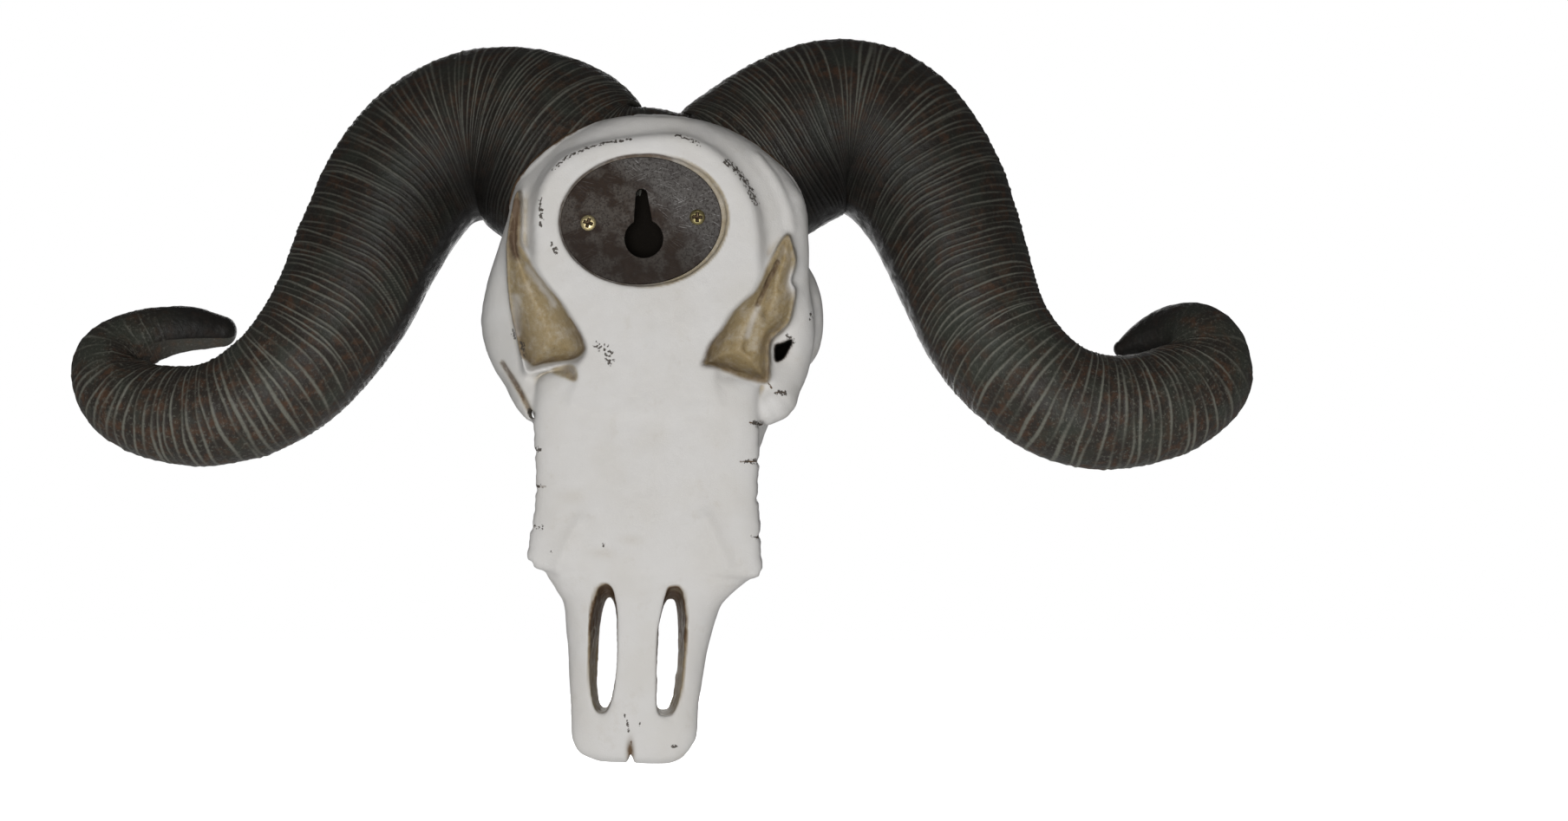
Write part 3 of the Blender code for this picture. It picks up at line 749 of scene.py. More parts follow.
TOOTH_FOLDS = ((0.3, 0.25), (0.52, 0.5), (0.78, 0.15))  # share of the pitch, and depth
FOLD_MIDDLE = 1.3  # a fold of no depth has its middle this far outside the palate's edge
SLOT_X = 9.2
SLOT_HALF = 3.85
SLOT_TOP = -98.2
SLOT_BOTTOM = -134.0
SLOT_DEPTH = 18.0  # from here on the slots widen into the nose opening
SLOT_LOW = (3.0, -32.0, -138.0)  # the box round the left slot
SLOT_HIGH = (15.0, 3.0, -96.0)
SLOT_STRAIGHT = 6.0  # how square the one straight edge of the right slot is
LIP_WIDTH = 1.5
LIP_HEIGHT = 0.7


def slot_section(side, deep, z):
    """A slot's middle and half width at a height; deep is 0 at the back of the muzzle and 1 inside."""
    if side > 0:
        return SLOT_X + 0.1 * deep, SLOT_HALF - 1.2 * deep
    taper = 0.7 * smooth_step(-112, -100, z) + 0.2 * smooth_step(-112, -130, z)
    lean = 0.035 * (z + 116) * (0.3 + 0.7 * deep)
    return 1.9 * deep - SLOT_X - taper - lean, SLOT_HALF - deep - taper


def muzzle_slot(side):
    """A tall leaf-shaped slot that narrows from the back of the muzzle to the nose opening."""

    def distance(x, y, z):
        deep = np.clip(-y / SLOT_DEPTH, 0.0, 1.0)
        beyond = np.maximum(-y - SLOT_DEPTH, 0.0)
        middle, half = slot_section(side, deep, z)
        half = half + 0.4 * beyond
        top = SLOT_TOP - 5.6 * deep + 0.3 * beyond
        reach = np.abs((z - (top + SLOT_BOTTOM) / 2) / ((top - SLOT_BOTTOM) / 2))
        square = np.where((side < 0) & (x > middle), SLOT_STRAIGHT, 2.6 - 0.5 * deep)
        near = (np.abs((x - middle) / half) ** square + reach**square) ** (1 / square)
        return (near - 1) * half

    box = np.array(SLOT_LOW), np.array(SLOT_HIGH)
    return distance, *(box if side > 0 else mirrored_box(*box))


def plate_plane(x, z):
    """The skull's own x and z in the plate's plane."""
    c, s = math.cos(PLATE_TURN - LEAN), math.sin(PLATE_TURN - LEAN)
    shift_x = x + MIDLINE_X * math.cos(LEAN)
    shift_z = z + MIDLINE_X * math.sin(LEAN)
    return shift_x * c - shift_z * s, shift_x * s + shift_z * c


def turned(shape_distance):
    """A shape given in the plate's own plane, for the skull's grid."""

    def distance(x, y, z):
        px, pz = plate_plane(x, z)
        return shape_distance(px, y, pz)

    return distance, np.array(RECESS_LOW), np.array(RECESS_HIGH)


def recess_edge(x, z):
    """How far outside the edge of the plate's recess a point of its plane lies."""
    return (np.hypot(x / RECESS_HALF[0], z / RECESS_HALF[1]) - 1) * RECESS_HALF[1]


def plate_recess(x, y, z):
    """The oval recess that the plate lies in, a little wider at the skull's back."""
    wall = recess_edge(x, z) - 0.6 * np.maximum(y + 0.9, 0)
    return np.maximum(wall, PLATE_BACK - PLATE_THICKNESS - y)


def keyhole_pocket(x, y, z):
    """The deeper pocket under the keyhole, for the wall screw's head."""
    low, high = POCKET_SPAN
    reach = np.clip(z, low + POCKET_HALF_WIDTH, high - POCKET_HALF_WIDTH)
    wall = np.hypot(x, z - reach) - POCKET_HALF_WIDTH
    return np.maximum(wall, PLATE_BACK - POCKET_DEPTH - y)


def horn_root(points):
    """The start of a horn, on the skull's own axes."""
    rows = []
    for x, y, z, radius in points[:ROOT_POINTS]:
        across, up = own(x, z)
        rows.append((across, y, up, radius))
    return rod(rows, 5)


def model_bulk(resin):
    """The head's main bones."""
    resin.join(loft(FACE), blend=1.0)
    resin.join(loft(BACK), blend=3.0)
    resin.join(slab(PLATEAU, back=-0.2, front=-10, slope=-0.5, edge=1.8), blend=1.6)
    for side in (NASAL_SPREAD, -NASAL_SPREAD):
        resin.join(loft(NASAL_BONE, side), blend=1.2)
    for rows in (CHEEK_LEFT, CHEEK_RIGHT):
        resin.join(rod(rows), blend=2.5)
    resin.join_both(rod(LOWER_CHEEK), blend=7.0)


def model_orbits(resin):
    """The eye sockets with their rims, and the dips and small openings round them."""
    mound = egg(ORBIT - ORBIT_MOUND_SINK * ORBIT_AXIS, ORBIT_AXIS, *ORBIT_MOUND)
    rim = ring(ORBIT, ORBIT_AXIS, ORBIT_RING, ORBIT_TUBE)
    brow = rod(((29, -52, -6, 4.5), (36, -46.5, -12, 4.2), (41, -39, -13, 3.2)))
    socket = egg(ORBIT + SOCKET_LIFT * ORBIT_AXIS, ORBIT_AXIS, SOCKET_RADIUS, SOCKET_DEPTH)
    tear_pit = ellipsoid((27.0, -48.5, -40.0), (6.5, 4.5, 8.0))
    brow_hole = bar((15, -60, -12), (14, -51, -15), 1.5, 1.3)
    brow_groove = rod(((15, -62.5, -13, 1.6), (14.5, -60, -22, 1.5), (15, -56.5, -32, 1.0)))
    for shape, blend in ((mound, 6.0), (rim, 4.0), (brow, 5.0)):
        resin.join_both(shape, blend)
    for shape, blend in ((socket, 1.6), (tear_pit, 5.0), (brow_hole, 1.2), (brow_groove, 2.0)):
        resin.carve_both(shape, blend)


def model_cheeks(resin):
    """The crest of the upper jaw, the dip beside it and the small opening in front of it."""
    dip = ellipsoid((27.0, -33.0, -58.0), (5.0, 5.0, 9.0))
    nerve_hole = rod(((20.5, -29, -83, 1.7), (19.5, -28.5, -90, 1.9)))
    resin.join_both(rod(JAW_CREST), blend=7.0)
    resin.carve_both(dip, blend=5.0)
    resin.carve_both(nerve_hole, blend=1.4)


def tooth_edge(side, z):
    """How far from the midline the palate's edge is."""
    rows = np.array(PALATE)[::-1]
    return float(np.interp(z, rows[:, 0], rows[:, 1 if side > 0 else 2]))


def model_tooth(resin, side, top):
    """The notch above one cheek tooth, and the folds down its outer face."""
    edge = tooth_edge(side, top)
    notch = bar((side * (edge + 0.35), 2, top), (side * (edge + 0.1), -15, top), 1.15, 0.9)
    resin.carve(notch, blend=0.7)
    for share, depth in TOOTH_FOLDS:
        z = top - share * TOOTH_PITCH
        x = side * (tooth_edge(side, z) + FOLD_MIDDLE - depth)
        resin.carve(bar((x, 2, z), (x, -14, z), 1.2, 1.0), blend=1.0)


def model_teeth(resin):
    """The palate between its two rows of teeth, and the ridges that end them."""
    resin.join(loft(PALATE), blend=1.0)
    for number in range(TOOTH_COUNT):
        top = TOOTH_TOP - TOOTH_PITCH * number
        model_tooth(resin, 1, top)
        model_tooth(resin, -1, top - RIGHT_TOOTH_DROP)
    for ridge in (TOOTH_RIDGE_RIGHT, TOOTH_RIDGE_LEFT):
        resin.join(resin.strand(ridge, 2.2, sink=1.7), blend=2.2)


def model_back(resin):
    """The two pits beside the neck, and the small openings, strips and grooves round them."""
    for outline in (PIT_LEFT, PIT_RIGHT):
        resin.join(slab(outline, back=-2.0, front=-25, edge=3.0), blend=3.0)
        resin.carve(bowl(outline, PIT_DEPTH, PIT_REACH), blend=1.2)
    fold = rod(((-29.6, -8.2, -25, 0.4), (-28.4, -8.8, -29, 1.0), (-27.0, -8.8, -33, 0.4)))
    resin.join(fold, blend=3.5)
    resin.carve(slab(HOLE_RIGHT, back=0.0, front=-26, edge=0.6), blend=0.5)
    resin.carve(slab(CORNER_HOLLOW, back=2.0, front=-2.2, slope=0.4, edge=0.8), blend=0.5)
    resin.join(resin.strand(STRIP_RIGHT, 1.5, sink=1.15), blend=1.6)
    resin.carve(resin.strand(GROOVE_LEFT, 0.55, sink=0.1), blend=0.6)
    resin.carve(resin.strand(GROOVE_RIGHT, 0.45, sink=0.1), blend=0.6)


def model_nose(resin):
    """The nose opening under the nasal bones, the bar in it, the two slots and the chin's notch."""
    hollow = ellipsoid((0, -24.0, -121.0), (11.6, 14.5, 15.5))
    roof = [row for row in NASAL_BONE if row[0] < -84]
    septum = bar((0, -24.0, -100), (0, -12.0, -128), 1.0, 0.9)
    resin.carve(hollow, blend=1.2)
    for side in (0.6, -0.6):
        resin.join(loft(roof, side * NASAL_SPREAD), blend=0.8)
    resin.join(septum, blend=1.5)
    for side in (1, -1):
        resin.carve(muzzle_slot(side), blend=0.8)
    resin.carve(slab(CHIN_NOTCH, back=3.0, front=-20.0, edge=0.4), blend=0.5)


def distance_to_horns(resin):
    """The distance from each point of the grid to the nearer horn's root."""
    nearest = np.full(resin.depth.shape, FAR, np.float32)
    for points in (HORN_LEFT, HORN_RIGHT):
        distance, low, high = horn_root(points)
        cut, places = resin.window(low, high, 3)
        nearest[cut] = np.minimum(nearest[cut], distance(*places).astype(np.float32))
    return nearest


def model_lips(resin, near_horn):
    """Raised edges, a little uneven, where the head meets each horn."""
    x, y, z = (axis.astype(float) for axis in resin.axes)
    wave = np.sin(x / 2.3)[:, None, None] + np.sin(y / 1.9 + 1)[None, :, None]
    wave = wave + np.sin(z / 2.1)[None, None, :]
    width = LIP_WIDTH + 0.25 * wave.astype(np.float32)
    lip = np.maximum(near_horn - width, resin.depth - LIP_HEIGHT)
    resin.depth = smooth_min(resin.depth, lip, 0.6)


def model_sutures(resin):
    """The sutures on the front, as fine grooves: one down the middle, one over the brow, two beside."""
    middle = [(0.5 * math.sin(z * 0.9), z) for z in range(16, -30, -3)]
    brow = [(x, -27 - 0.012 * x * x + 0.7 * math.sin(x * 0.8)) for x in range(-24, 25, 3)]
    beside = [(10.5 + 0.02 * (z + 30), z) for z in range(-32, -100, -4)]
    across = [(-x, z) for x, z in beside]
    for pairs, radius in ((middle, 0.5), (brow, 0.45), (beside, 0.45), (across, 0.45)):
        resin.carve(resin.strand(pairs, radius, sink=0.1, front=True), blend=0.4)


def model_skull():
    """The finished field, and the distance to the nearer horn."""
    resin = Resin()
    model_bulk(resin)
    model_orbits(resin)
    model_cheeks(resin)
    model_teeth(resin)
    model_back(resin)
    model_nose(resin)
    model_sutures(resin)
    near_horn = distance_to_horns(resin)
    model_lips(resin, near_horn)
    resin.carve(turned(plate_recess), blend=0.35)
    resin.carve(turned(keyhole_pocket), blend=0.35)
    resin.depth = blur(resin.depth, 1) * 0.5 + resin.depth * 0.5
    return resin, near_horn


# ---------------------------------------------------------------- marks on the skull

# Marks seen from the back, all given in world X and Z: fine brown lines, lines of flecks with how far
# they reach, soft spots with their sizes, and lines in the pits. Lines are kept on the skull's own axes.
CRACKS = [own_points(line) for line in (
    ((-35.9, -46.6), (-36.9, -46.2), (-38.3, -46.6)),
    ((-33.9, -43.9), (-34.8, -45.4)),
    ((3.2, -140.9), (3.7, -143.4), (3.4, -146.4)),
    ((3.3, -141.0), (3.6, -143.3), (3.8, -144.9)),
    ((31.0, -52.2), (30.0, -52.4)),
    ((29.6, -62.1), (28.9, -62.1)),
    ((28.6, -72.0), (26.4, -72.0)),
    ((30.0, -82.9), (29.0, -82.9)),
    ((-28.8, -54.6), (-32.0, -55.4)),
    ((-26.2, -65.3), (-31.4, -65.1)),
    ((-30.6, -85.9), (-32.2, -85.7)),
)]
FLECKS = [(reach, own_points(line)) for reach, line in (
    (0.7, ((24.4, 13.6), (20.2, 17.1), (15.5, 19.4), (9.7, 20.9), (3.2, 22.0))),
    (0.7, ((-9.1, 23.0), (-11.9, 22.2), (-15.4, 20.2))),
    (1.2, ((-22.6, 15.8), (-25.5, 13.4), (-27.8, 10.3), (-29.7, 6.8), (-30.4, 5.0))),
    (0.8, ((27.7, 5.6), (27.2, 2.1), (27.5, -1.4))),
    (0.8, ((24.4, -6.3), (23.2, -8.9))),
    (1.6, ((12.0, -33.6), (10.3, -34.7), (9.0, -36.6), (9.0, -38.0))),
    (0.6, ((4.2, -138.1), (4.8, -133.7))),
    (0.6, ((1.1, -136.0), (1.2, -136.4))),
    (0.7, ((-8.1, -142.6), (-9.0, -142.3))),
    (0.8, ((-45.4, -24.6), (-45.4, -26.0))),
    (0.9, ((36.1, -29.5), (35.4, -31.4))),
    (0.8, ((33.1, -33.0), (32.6, -35.1), (32.8, -36.8))),
    (0.6, ((10.5, -87.6), (10.6, -88.0))),
    (0.5, ((24.7, -89.4), (24.7, -89.6))),
    (1.0, ((-29.6, -54.8), (-31.8, -55.5))),
    (0.9, ((-27.6, -65.2), (-30.9, -65.2))),
    (0.8, ((-31.0, -85.8), (-32.2, -85.7))),
    (0.8, ((29.9, -72.0), (27.6, -72.0))),
    (0.8, ((31.4, -52.2), (30.6, -52.3))),
    (0.8, ((30.6, -82.9), (29.6, -82.9))),
    (0.8, ((-38.8, -30.8), (-40.6, -32.4))),
    (1.0, ((-36.2, -46.5), (-38.2, -46.7))),
    (0.9, ((29.2, -62.1), (28.0, -61.8))),
    (0.9, ((29.0, -83.4), (27.6, -83.0))),
    (0.9, ((-31.6, -85.9), (-29.8, -85.7))),
)]
STAINS = ((3.6, -86.2, 3.0), (10.6, -89.9, 3.4), (18.8, -74.6, 4.0), (-31.5, -22.0, 5.0))
STAIN_DEPTH = 0.16
PIT_BITE = (-40.6, -16.4, 1.6, 3.4)  # the right pit's edge is bare here
CHIN_STAIN = (3.6, -144.4, 0.9, 3.2)
PALE_LINES = [own_points(line) for line in (
    ((31.6, -12.5), (28.6, -16.5), (24.5, -22.3)),
    ((34.8, -20.5), (34.1, -30.5)),
    ((-31.0, -23.2), (-29.4, -27.0), (-28.0, -31.0)),
)]
DARK_LINE = own_points(((34.4, 5.0), (35.2, 0.2), (35.3, -4.8), (35.1, -8.6)))
BROWN_MOST = 1.6


def close_to(distance, width):
    """1 on a line or an edge, fading over a width on both sides of it."""
    return np.exp(-((distance / width) ** 2))


def spot(x, z, middle_x, middle_z, half_width, half_height):
    """1 at a world X and Z, fading over a half width and a half height."""
    middle = own(middle_x, middle_z)
    return np.exp(-(((x - middle[0]) / half_width) ** 2) - ((z - middle[1]) / half_height) ** 2)


def in_the_pits(x, z, from_back):
    """How far outside a pit's painted edge each point is, and 1 for points inside it."""
    edge = np.minimum(outline_distance(PIT_LEFT, x, z), outline_distance(PIT_RIGHT, x, z))
    edge = edge + PIT_LEDGE * smooth_step(-33.0, -37.5, z + 0.11 * x) * (x > 0)
    return edge, from_back * smooth_step(0.8, -0.6, edge)


def pit_wash(x, y, z, edge, in_pit):
    """Stain and brown in the pits: browner along the low edges, at the top and on one line."""
    bare = np.clip(1.3 * spot(x, z, *PIT_BITE), 0, 1)
    pale = 0.6 * close_to(line_distance(PALE_LINES, x, z), 0.9)
    low = 0.75 * close_to(edge, 2.6) * smooth_step(-22, -33, z)
    rim = 0.25 * close_to(edge, 1.0)
    top = smooth_step(-12, 0, z) * np.where(x > 0, 0.75, 0.35)
    dark = BROWN_MOST * close_to(line_distance([DARK_LINE], x, z), 1.5)
    stain = in_pit * smooth_step(-0.8, -2.6, y) * (1 - bare) * (1 - pale)
    return stain, in_pit * np.max([low, rim, top, dark], axis=0)


def corner_wash(x, z, from_back):
    """The small hollow over the palate's left corner, brown towards the midline."""
    edge = outline_distance(CORNER_HOLLOW, x, z)
    brown = 0.7 * from_back * smooth_step(0.6, -0.4, edge) * smooth_step(24.5, 20.5, x)
    return 0.85 * from_back * smooth_step(1.0, 0.0, edge), brown


def groove_stain_and_shade(x, z, from_back):
    """The two grooves beside the pits, dark along their middles: partly brown stain, partly painted
    shade in the grooves.
    """
    edge = np.where(from_back, line_distance([GROOVE_LEFT, GROOVE_RIGHT], x, z), FAR)
    stain = 0.75 * smooth_step(1.5, 0.3, edge) * (0.45 + 0.55 * smooth_step(-40, -47, z))
    return stain, 0.95 * smooth_step(0.9, 0.4, edge)


def slot_wash(x, y, z):
    """The walls of the muzzle slots, browner towards their tops."""
    edge = np.minimum(muzzle_slot(1)[0](x, y, z), muzzle_slot(-1)[0](x, y, z))
    below = y + 0.045 * np.maximum(-100 - z, 0)
    wall = smooth_step(0.9, 0.5, edge) * smooth_step(-1.5, -2.3, below) * (y > -17)
    return wall, wall * (0.4 + 0.9 * smooth_step(-126, -106, z))


def recess_wash(x, y, z):
    """Stain on the right of the plate's recess and brown on its left, and painted shade, near black, in
    the pocket.
    """
    px, pz = plate_plane(x, z)
    edge = recess_edge(px, pz)
    right = smooth_step(2, -14, px + 0.35 * pz)
    stain = 0.8 * smooth_step(0.9, 0.5, edge) * (y > -2.2) * right
    brown = 0.85 * smooth_step(0.35, 0.1, edge) * (y > -2.4) * (1 - right)
    # the last mask is where the pocket gets painted shade, near black
    return stain, brown, (edge < -1.5) & (y < -1.7) & (y > -12)


def side_shade(x, y, z, normals, in_pit):
    """Painted shade: grey on the sides of the head, which turn away from the light, more of it on the
    left.
    """
    side = smooth_step(0.1, 0.85, np.abs(normals[:, 0])) * np.where(x > 0, 1.0, 0.25)
    side = np.maximum(side, 0.75 * smooth_step(34, 38, x))
    side = side * smooth_step(-45, -25, y) * smooth_step(-70, -48, z)
    return side * (1 - 0.5 * smooth_step(-14, -2, z)) * (1 - 0.7 * in_pit)


def hollowness(resin, reach, points):
    """How much more than half of the cube round each point is resin."""
    solid = np.clip(0.5 - resin.depth / (2 * GRID_STEP), 0, 1)
    return sample(blur(solid, max(1, round(reach / GRID_STEP))), resin.low, points) - 0.5


def skull_marks(points, normals, resin, near_horn):
    """Values for the skull's material at each point: how much of each wash, and where lines run."""
    x, y, z = points.T
    from_back = (normals[:, 1] > -0.2) & (y > -24)
    crack = np.where(from_back, line_distance(CRACKS, x, z), FAR)
    chips = np.min([line_distance([line], x, z) / reach for reach, line in FLECKS], axis=0)
    pit_edge, in_pit = in_the_pits(x, z, from_back)
    hole_edge = outline_distance(HOLE_RIGHT, x, z)
    spots = [spot(x, z, *middle, reach, reach * 0.5) for *middle, reach in STAINS]
    chin = from_back * spot(x, z, *CHIN_STAIN)
    ring_stain, ring_brown, pocket = recess_wash(x, y, z)
    washes = (
        pit_wash(x, y, z, pit_edge, in_pit),
        corner_wash(x, z, from_back),
        # partly painted shade in the two grooves
        groove_stain_and_shade(x, z, from_back),
        slot_wash(x, y, z),
        (ring_stain, ring_brown),
        (0.6 * chin, 1.4 * chin),
        (STAIN_DEPTH * from_back * np.max(spots, axis=0), 0 * x),
        (0 * x, 0.8 * from_back * smooth_step(1.0, 0.1, hole_edge)),
    )
    stain, brown = np.max(washes, axis=0)
    return {
        "hollow": hollowness(resin, 1.5, points),
        "deep": hollowness(resin, 5.0, points),
        "crack": np.minimum(crack, 5.0),
        "fleck": np.minimum(np.where(from_back, chips, FAR), 5.0),
        "stain": np.clip(stain, 0, 1),
        "brown": np.clip(brown, 0, BROWN_MOST),
        # painted shade, near black, in the keyhole's pocket and the right hole
        "hole_shade": np.maximum(pocket, smooth_step(0.6, 0.2, hole_edge) * (y < -3.0) * (y > -28)),
        "seam": np.clip(sample(near_horn, resin.low, points), -5.0, 5.0),
        # painted shade on the sides of the head
        "side": side_shade(x, y, z, normals, in_pit),
    }


def skull_surface(resin):
    """The field's zero surface: points moved close to it, their normals, and faces."""
    points, faces = surface_net(resin.depth)
    points = points * GRID_STEP + resin.low
    for _ in range(2):
        slope = gradient(resin.depth, resin.low, points)
        reach = sample(resin.depth, resin.low, points)
        steepness = np.maximum((slope**2).sum(axis=1), 0.05)
        points -= slope * (reach / steepness)[:, None] * 0.8
    slope = gradient(resin.depth, resin.low, points)
    return points, slope / np.maximum(np.linalg.norm(slope, axis=1), 1e-6)[:, None], faces


def make_skull():
    """The skull's mesh, its surface roughened, and more so where it is stained."""
    resin, near_horn = model_skull()
    points, normals, faces = skull_surface(resin)
    marks = skull_marks(points, normals, resin, near_horn)
    rough = 0.10 * lattice_noise(points, 4.5, 3) + 0.05 * lattice_noise(points, 1.6, 4)
    pitted = 0.16 * lattice_noise(points, 2.4, 5) + 0.10 * lattice_noise(points, 1.0, 6)
    points = points + normals * (rough + marks["stain"] * pitted)[:, None]
    return mesh_object("skull_resin", to_world(points), [faces], marks)


# ---------------------------------------------------------------- horns

RIDGE_COUNT = 300  # more than the longer horn needs
RIDGE_GAPS = (0.95, 2.0)
RIDGE_HEIGHT = 0.30
RIDGE_WIDTH = 0.30
RIDGE_SWEEP = 9.0  # how far the ridges run ahead on the side that faces the skull
FACET_TURN = math.radians(55)  # the left tip is planed flat on this side, at this share of its radius
FACET_REACH = 0.88
LINE_REACH = 7.0  # how far the centre line is evened out
TURN_REACH = 14.0  # and its direction
CAP_ROWS = 13
CAP_LENGTH = 0.9  # in radii of the tip


def soften(rows, reach):
    """Rows along a horn, each averaged with those up to a reach (mm) away."""
    steps = round(reach / HORN_ROW)
    weights = np.hanning(2 * steps + 3)[1:-1]
    weights /= weights.sum()
    padded = np.pad(rows, ((steps, steps), (0, 0)), mode="reflect", reflect_type="odd")
    return np.stack([np.convolve(column, weights, mode="valid") for column in padded.T], axis=1)


def horn_line(points):
    """Evenly spaced rows along a horn: distance along it, centre, radius and directions."""
    dense = spline(points, 60)
    run = np.concatenate([[0], np.cumsum(np.linalg.norm(np.diff(dense[:, :3], axis=0), axis=1))])
    along = np.arange(0, run[-1], HORN_ROW)
    rows = np.stack([np.interp(along, run, dense[:, column]) for column in range(4)], axis=1)
    rows = soften(rows, LINE_REACH)
    centre, radius = rows[:, :3], rows[:, 3]
    forward = soften(np.gradient(centre, axis=0), TURN_REACH)
    forward /= np.linalg.norm(forward, axis=1)[:, None]
    back = np.array((0.0, 1.0, 0.0)) - forward * forward[:, 1:2]
    back /= np.linalg.norm(back, axis=1)[:, None]
    return along, centre, radius, forward, back


def ridge_pattern(along, angle, length, seed):
    """Height of the growth ridges, 0 to 1, from distance along a horn and angle round it."""
    rng = np.random.default_rng(seed)
    gaps = rng.uniform(*RIDGE_GAPS, RIDGE_COUNT)
    even = np.cumsum(gaps)
    wider = 1 + 0.6 * smooth_step(105, 165, even) * smooth_step(length + 30, length - 20, even)
    places = np.cumsum(gaps * wider)
    places = places[places < length + 20]
    strength = rng.uniform(0.55, 1.0, len(places))
    phase = rng.uniform(0, math.tau, (len(places), 3))
    width = rng.uniform(0.8, 1.3, len(places)) * RIDGE_WIDTH * np.sqrt(wider[: len(places)])
    height = np.zeros_like(along)
    nearest = np.searchsorted(places, along)
    for shift in (-1, 0):
        index = np.clip(nearest + shift, 0, len(places) - 1)
        wobble = 0.28 * np.sin(2 * angle + phase[index, 0]) + 0.16 * np.sin(5 * angle + phase[index, 1])
        fade = 0.72 + 0.28 * np.sin(3 * angle + phase[index, 2])
        off = (along - places[index] - wobble) / width[index]
        height = np.maximum(height, strength[index] * fade * np.exp(-off * off))
    return height


def horn_marks(s, angle, length, side, seed):
    """Values for a horn's material, from distance s along it and angle round it, and where it's flat."""
    inner = -np.sin(angle) + 0 * s  # 1 on the side that faces the skull, -1 on the far side
    bent = smooth_step(20, 60, s) * (1 - smooth_step(120, 175, s))
    swept = s - RIDGE_SWEEP * bent * np.clip((inner - 0.15) / 0.85, 0, 1) ** 2
    # Smooth strip without ridges on the side that faces the skull; its dark colour is partly painted
    # shade.
    bare = bent * smooth_step(0.86, 0.95, inner)
    tip = smooth_step(length - 26, length - 10, s)
    worn = 0.4 * smooth_step(length - 62, length - 30, s)
    ridge = ridge_pattern(swept, angle + 0 * s, length, seed) * (1 - bare) * (1 - tip) * (1 - worn)
    # Painted shade on the side that faces the skull, from about 15 to 130 mm along.
    shade = smooth_step(-0.30, 0.75, inner) * smooth_step(15, 45, s) * (1 - smooth_step(70, 130, s))
    planed = (side > 0) & (np.cos(angle - FACET_TURN) > FACET_REACH)
    facet = smooth_step(length - 70, length - 40, s) * planed
    marks = {
        "ridge": ridge,
        "along": s + 0 * angle,
        "bare": np.clip(bare + tip * (1 - 1.4 * facet), 0, 1),
        # painted light on the left tip's planed facet
        "facet": facet * tip,
        "shade": shade,
    }
    return marks, facet


def capped(along, centre, radius, *directions):
    """A horn's rows with those of its rounded tip added."""
    turn = np.linspace(0, math.pi / 2, CAP_ROWS + 1)[1:]
    run = CAP_LENGTH * radius[-1] * np.sin(turn)
    along = np.concatenate([along, along[-1] + run])
    centre = np.concatenate([centre, centre[-1] + directions[0][-1] * run[:, None]])
    radius = np.concatenate([radius, radius[-1] * np.maximum(np.cos(turn), 0.01)])
    directions = [np.concatenate([rows, np.repeat(rows[-1:], CAP_ROWS, axis=0)]) for rows in directions]
    return along, centre, radius, *directions


def horn_lumps(points, radius, seed):
    """Unevenness of a horn's surface, less of it where the horn is thin."""
    lumps = 0.30 * lattice_noise(points, 9.0, seed + 1) + 0.10 * lattice_noise(points, 2.0, seed + 2)
    lumps += 0.06 * lattice_noise(points, 0.9, seed + 3)
    return lumps * np.clip(radius / 6, 0.05, 1)


def make_horn(name, points, side, seed):
    """A horn on the left (side 1) or the right (side -1)."""
    along, centre, radius, forward, back = horn_line(points)
    length = along[-1]
    up = np.cross(forward, back) * side
    along, centre, radius, forward, back, up = capped(along, centre, radius, forward, back, up)
    angle = np.linspace(0, math.tau, HORN_SIDES, endpoint=False)[None, :]
    marks, facet = horn_marks(along[:, None], angle, length, side, seed)
    planed = FACET_REACH / np.maximum(np.cos(angle - FACET_TURN), FACET_REACH)
    thick = radius[:, None]
    ridges = RIDGE_HEIGHT * marks["ridge"] * (0.5 + 0.5 * np.clip(thick / 15, 0, 1))
    rim = thick * (1 + facet * (planed - 1)) + ridges
    around = np.cos(angle)[..., None] * back[:, None, :] + np.sin(angle)[..., None] * up[:, None, :]
    surface = (centre[:, None, :] + around * rim[..., None]).reshape(-1, 3)
    lumps = horn_lumps(surface, radius.repeat(HORN_SIDES), seed)
    surface = surface + around.reshape(-1, 3) * lumps[:, None]
    ends = [centre[0], centre[-1] + forward[-1] * 0.02]
    values = {label: np.concatenate([rows.ravel(), [0.0, 0.0]]) for label, rows in marks.items()}
    faces = tube_faces(len(along), HORN_SIDES, flipped=side < 0)
    return mesh_object(name, np.concatenate([surface, ends]), faces, values)


# ---------------------------------------------------------------- plate and screws


def in_plate_plane(points, depth_of):
    """Flat (x, y, lift) points turned into the plate's plane in the world."""
    c, s = math.cos(PLATE_TURN), math.sin(PLATE_TURN)
    x, z, lift = points.T
    return np.stack([x * c + z * s, depth_of + lift, -x * s + z * c], axis=1)


def circle(middle, radius, steps, start=0.0, sweep=math.tau):
    """Points on a circle or an arc, without the arc's last one."""
    angles = start + sweep * np.arange(steps) / steps
    return [(middle[0] + radius * math.cos(a), middle[1] + radius * math.sin(a)) for a in angles]


def keyhole():
    """The keyhole's outline: a round part with a slot over it that narrows to its top."""
    low_half, top_half = KEYHOLE_HALF_WIDTHS
    start = math.acos(low_half / KEYHOLE_RADIUS)
    round_part = circle((0, KEYHOLE_Z), KEYHOLE_RADIUS, 48, start, -(math.pi + 2 * start))
    round_part.append((-low_half, KEYHOLE_Z + KEYHOLE_RADIUS * math.sin(start)))
    middle = KEYHOLE_TOP - top_half
    top = circle((0, middle), top_half, 16, math.pi, -math.pi)
    return [*round_part, *top, (top_half, middle)]


